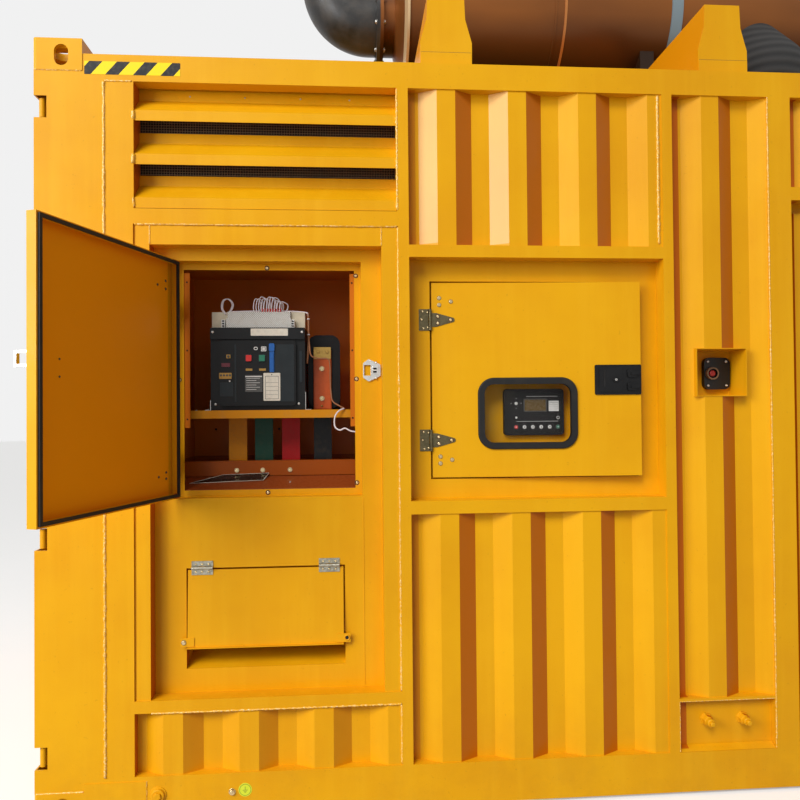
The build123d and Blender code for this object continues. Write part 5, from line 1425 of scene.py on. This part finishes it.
class CONTAINER_OT_stage(bpy.types.Operator):
    """Floor, key light, soft surroundings and the camera"""
    bl_idname = "container.stage"
    bl_label = "Stage"

    def execute(self, context):
        settings = context.scene.container_stage
        self.floor(settings)
        self.sun(settings)
        self.side_light(settings)
        self.world(context, settings)
        self.camera(context, settings)
        context.scene.view_settings.view_transform = "Standard"
        return {"FINISHED"}

    @staticmethod
    def floor(settings):
        mesh = bmesh.new()
        bmesh.ops.create_circle(mesh, cap_ends=True, segments=96, radius=40.0)
        data = bpy.data.meshes.new("studio_floor")
        mesh.to_mesh(data)
        mesh.free()
        made = placed("studio_floor", data)
        paint = Paint("studio_floor", roughness=0.85, specular_ior_level=0.1, emission_strength=1.0)
        first, second, third = (paint.node("LightPath", {}, output=ray) for ray in SEEN_RAYS)
        seen = first.most(second).most(third)
        speck = paint.noise(3.0, 4.0, 0.6)
        grey, bounce = settings.floor_grey, settings.floor_bounce
        glow = settings.backdrop - grey * 0.8
        pale = paint.mix(speck, (grey, grey, grey), (grey * 0.97, grey * 0.97, grey * 0.96))
        body = paint.mix(seen, (bounce, bounce, bounce), pale)
        shine = paint.mix(seen, (0, 0, 0), (glow, glow, glow))
        data.materials.append(paint.cover(body, emission_color=shine))

    @staticmethod
    def side_light(settings):
        light = bpy.data.lights.new("side_light", "AREA")
        light.energy = settings.side_strength
        light.shape = "RECTANGLE"
        light.size = 4.0
        light.size_y = 3.5
        made = placed("side_light", light)
        made.location = settings.side_place
        away = Vector(settings.side_place) - at(LENGTH * 0.3, 0, 1400)
        made.rotation_euler = away.to_track_quat("Z", "Y").to_euler()

    @staticmethod
    def sun(settings):
        light = bpy.data.lights.new("key_light", "SUN")
        light.energy = settings.sun_strength
        light.angle = settings.sun_spread
        light.color = (1.0, 0.985, 0.96)
        made = placed("key_light", light)
        made.rotation_euler = Vector(settings.sun_towards).to_track_quat("Z", "Y").to_euler()

    @staticmethod
    def world(context, settings):
        world = bpy.data.worlds.new("soft_surroundings")
        context.scene.world = world
        world.use_nodes = True
        tree = world.node_tree
        tree.nodes.clear()
        path = tree.nodes.new("ShaderNodeLightPath")
        seen = path.outputs[SEEN_RAYS[0]]
        for name in SEEN_RAYS[1:]:
            either = tree.nodes.new("ShaderNodeMath")
            either.operation = "MAXIMUM"
            tree.links.new(seen, either.inputs[0])
            tree.links.new(path.outputs[name], either.inputs[1])
            seen = either.outputs[0]
        soft = tree.nodes.new("ShaderNodeBackground")
        soft.inputs[0].default_value = (1.0, 1.0, 1.0, 1.0)
        soft.inputs[1].default_value = settings.fill
        white = tree.nodes.new("ShaderNodeBackground")
        white.inputs[0].default_value = (settings.backdrop, settings.backdrop, settings.backdrop, 1.0)
        white.inputs[1].default_value = 1.0
        mix = tree.nodes.new("ShaderNodeMixShader")
        output = tree.nodes.new("ShaderNodeOutputWorld")
        tree.links.new(seen, mix.inputs[0])
        tree.links.new(soft.outputs[0], mix.inputs[1])
        tree.links.new(white.outputs[0], mix.inputs[2])
        tree.links.new(mix.outputs[0], output.inputs[0])

    @staticmethod
    def camera(context, settings):
        lens = bpy.data.cameras.new("camera")
        lens.lens = settings.camera_lens
        lens.sensor_width = 36.0
        made = placed("camera", lens)
        yaw = Matrix.Rotation(-settings.camera_yaw, 4, "Z")
        pitch = Matrix.Rotation(math.radians(90) + settings.camera_pitch, 4, "X")
        roll = Matrix.Rotation(settings.camera_roll, 4, "Z")
        made.matrix_world = Matrix.Translation(Vector(settings.camera_place)) @ yaw @ pitch @ roll
        context.scene.camera = made


PIECES = (
    CONTAINER_OT_finishes, CONTAINER_OT_welds, CONTAINER_OT_hazard_stripe, CONTAINER_OT_louvre_screws,
    CONTAINER_OT_cabinet_fixings, CONTAINER_OT_breaker_face, CONTAINER_OT_terminals, CONTAINER_OT_wires,
    CONTAINER_OT_busbar_bolts, CONTAINER_OT_shelf_fittings, CONTAINER_OT_breaker_door_details,
    CONTAINER_OT_flap_bolts, CONTAINER_OT_control_door_fittings, CONTAINER_OT_controller_face,
    CONTAINER_OT_stop_button, CONTAINER_OT_rail_fittings, CONTAINER_OT_silencer_fittings,
    CONTAINER_OT_cargo_seals, CONTAINER_OT_stage,
)


class CONTAINER_PT_generator(bpy.types.Panel):
    """Settings and pieces of the containerized generator"""
    bl_idname = "CONTAINER_PT_generator"
    bl_label = "Containerized generator"
    bl_space_type = "VIEW_3D"
    bl_region_type = "UI"
    bl_category = "Generator"

    def draw(self, context):
        for name in SETTINGS:
            group = getattr(context.scene, name)
            for prop in group.bl_rna.properties:
                if prop.identifier not in ("rna_type", "name"):
                    self.layout.prop(group, prop.identifier)
        for piece in PIECES:
            self.layout.operator(piece.bl_idname)


SETTINGS = {
    "container_paint": ContainerPaintSettings,
    "container_fittings": ContainerFittingSettings,
    "container_stage": ContainerStageSettings,
}
CLASSES = (*SETTINGS.values(), *PIECES, CONTAINER_PT_generator)


def register():
    for kind in CLASSES:
        bpy.utils.register_class(kind)
    for name, group in SETTINGS.items():
        setattr(bpy.types.Scene, name, bpy.props.PointerProperty(type=group))


def unregister():
    for name in SETTINGS:
        delattr(bpy.types.Scene, name)
    for kind in reversed(CLASSES):
        bpy.utils.unregister_class(kind)


def main():
    register()
    for piece in PIECES:
        group, name = piece.bl_idname.split(".")
        getattr(getattr(bpy.ops, group), name)()


if __name__ == "__main__":
    main()
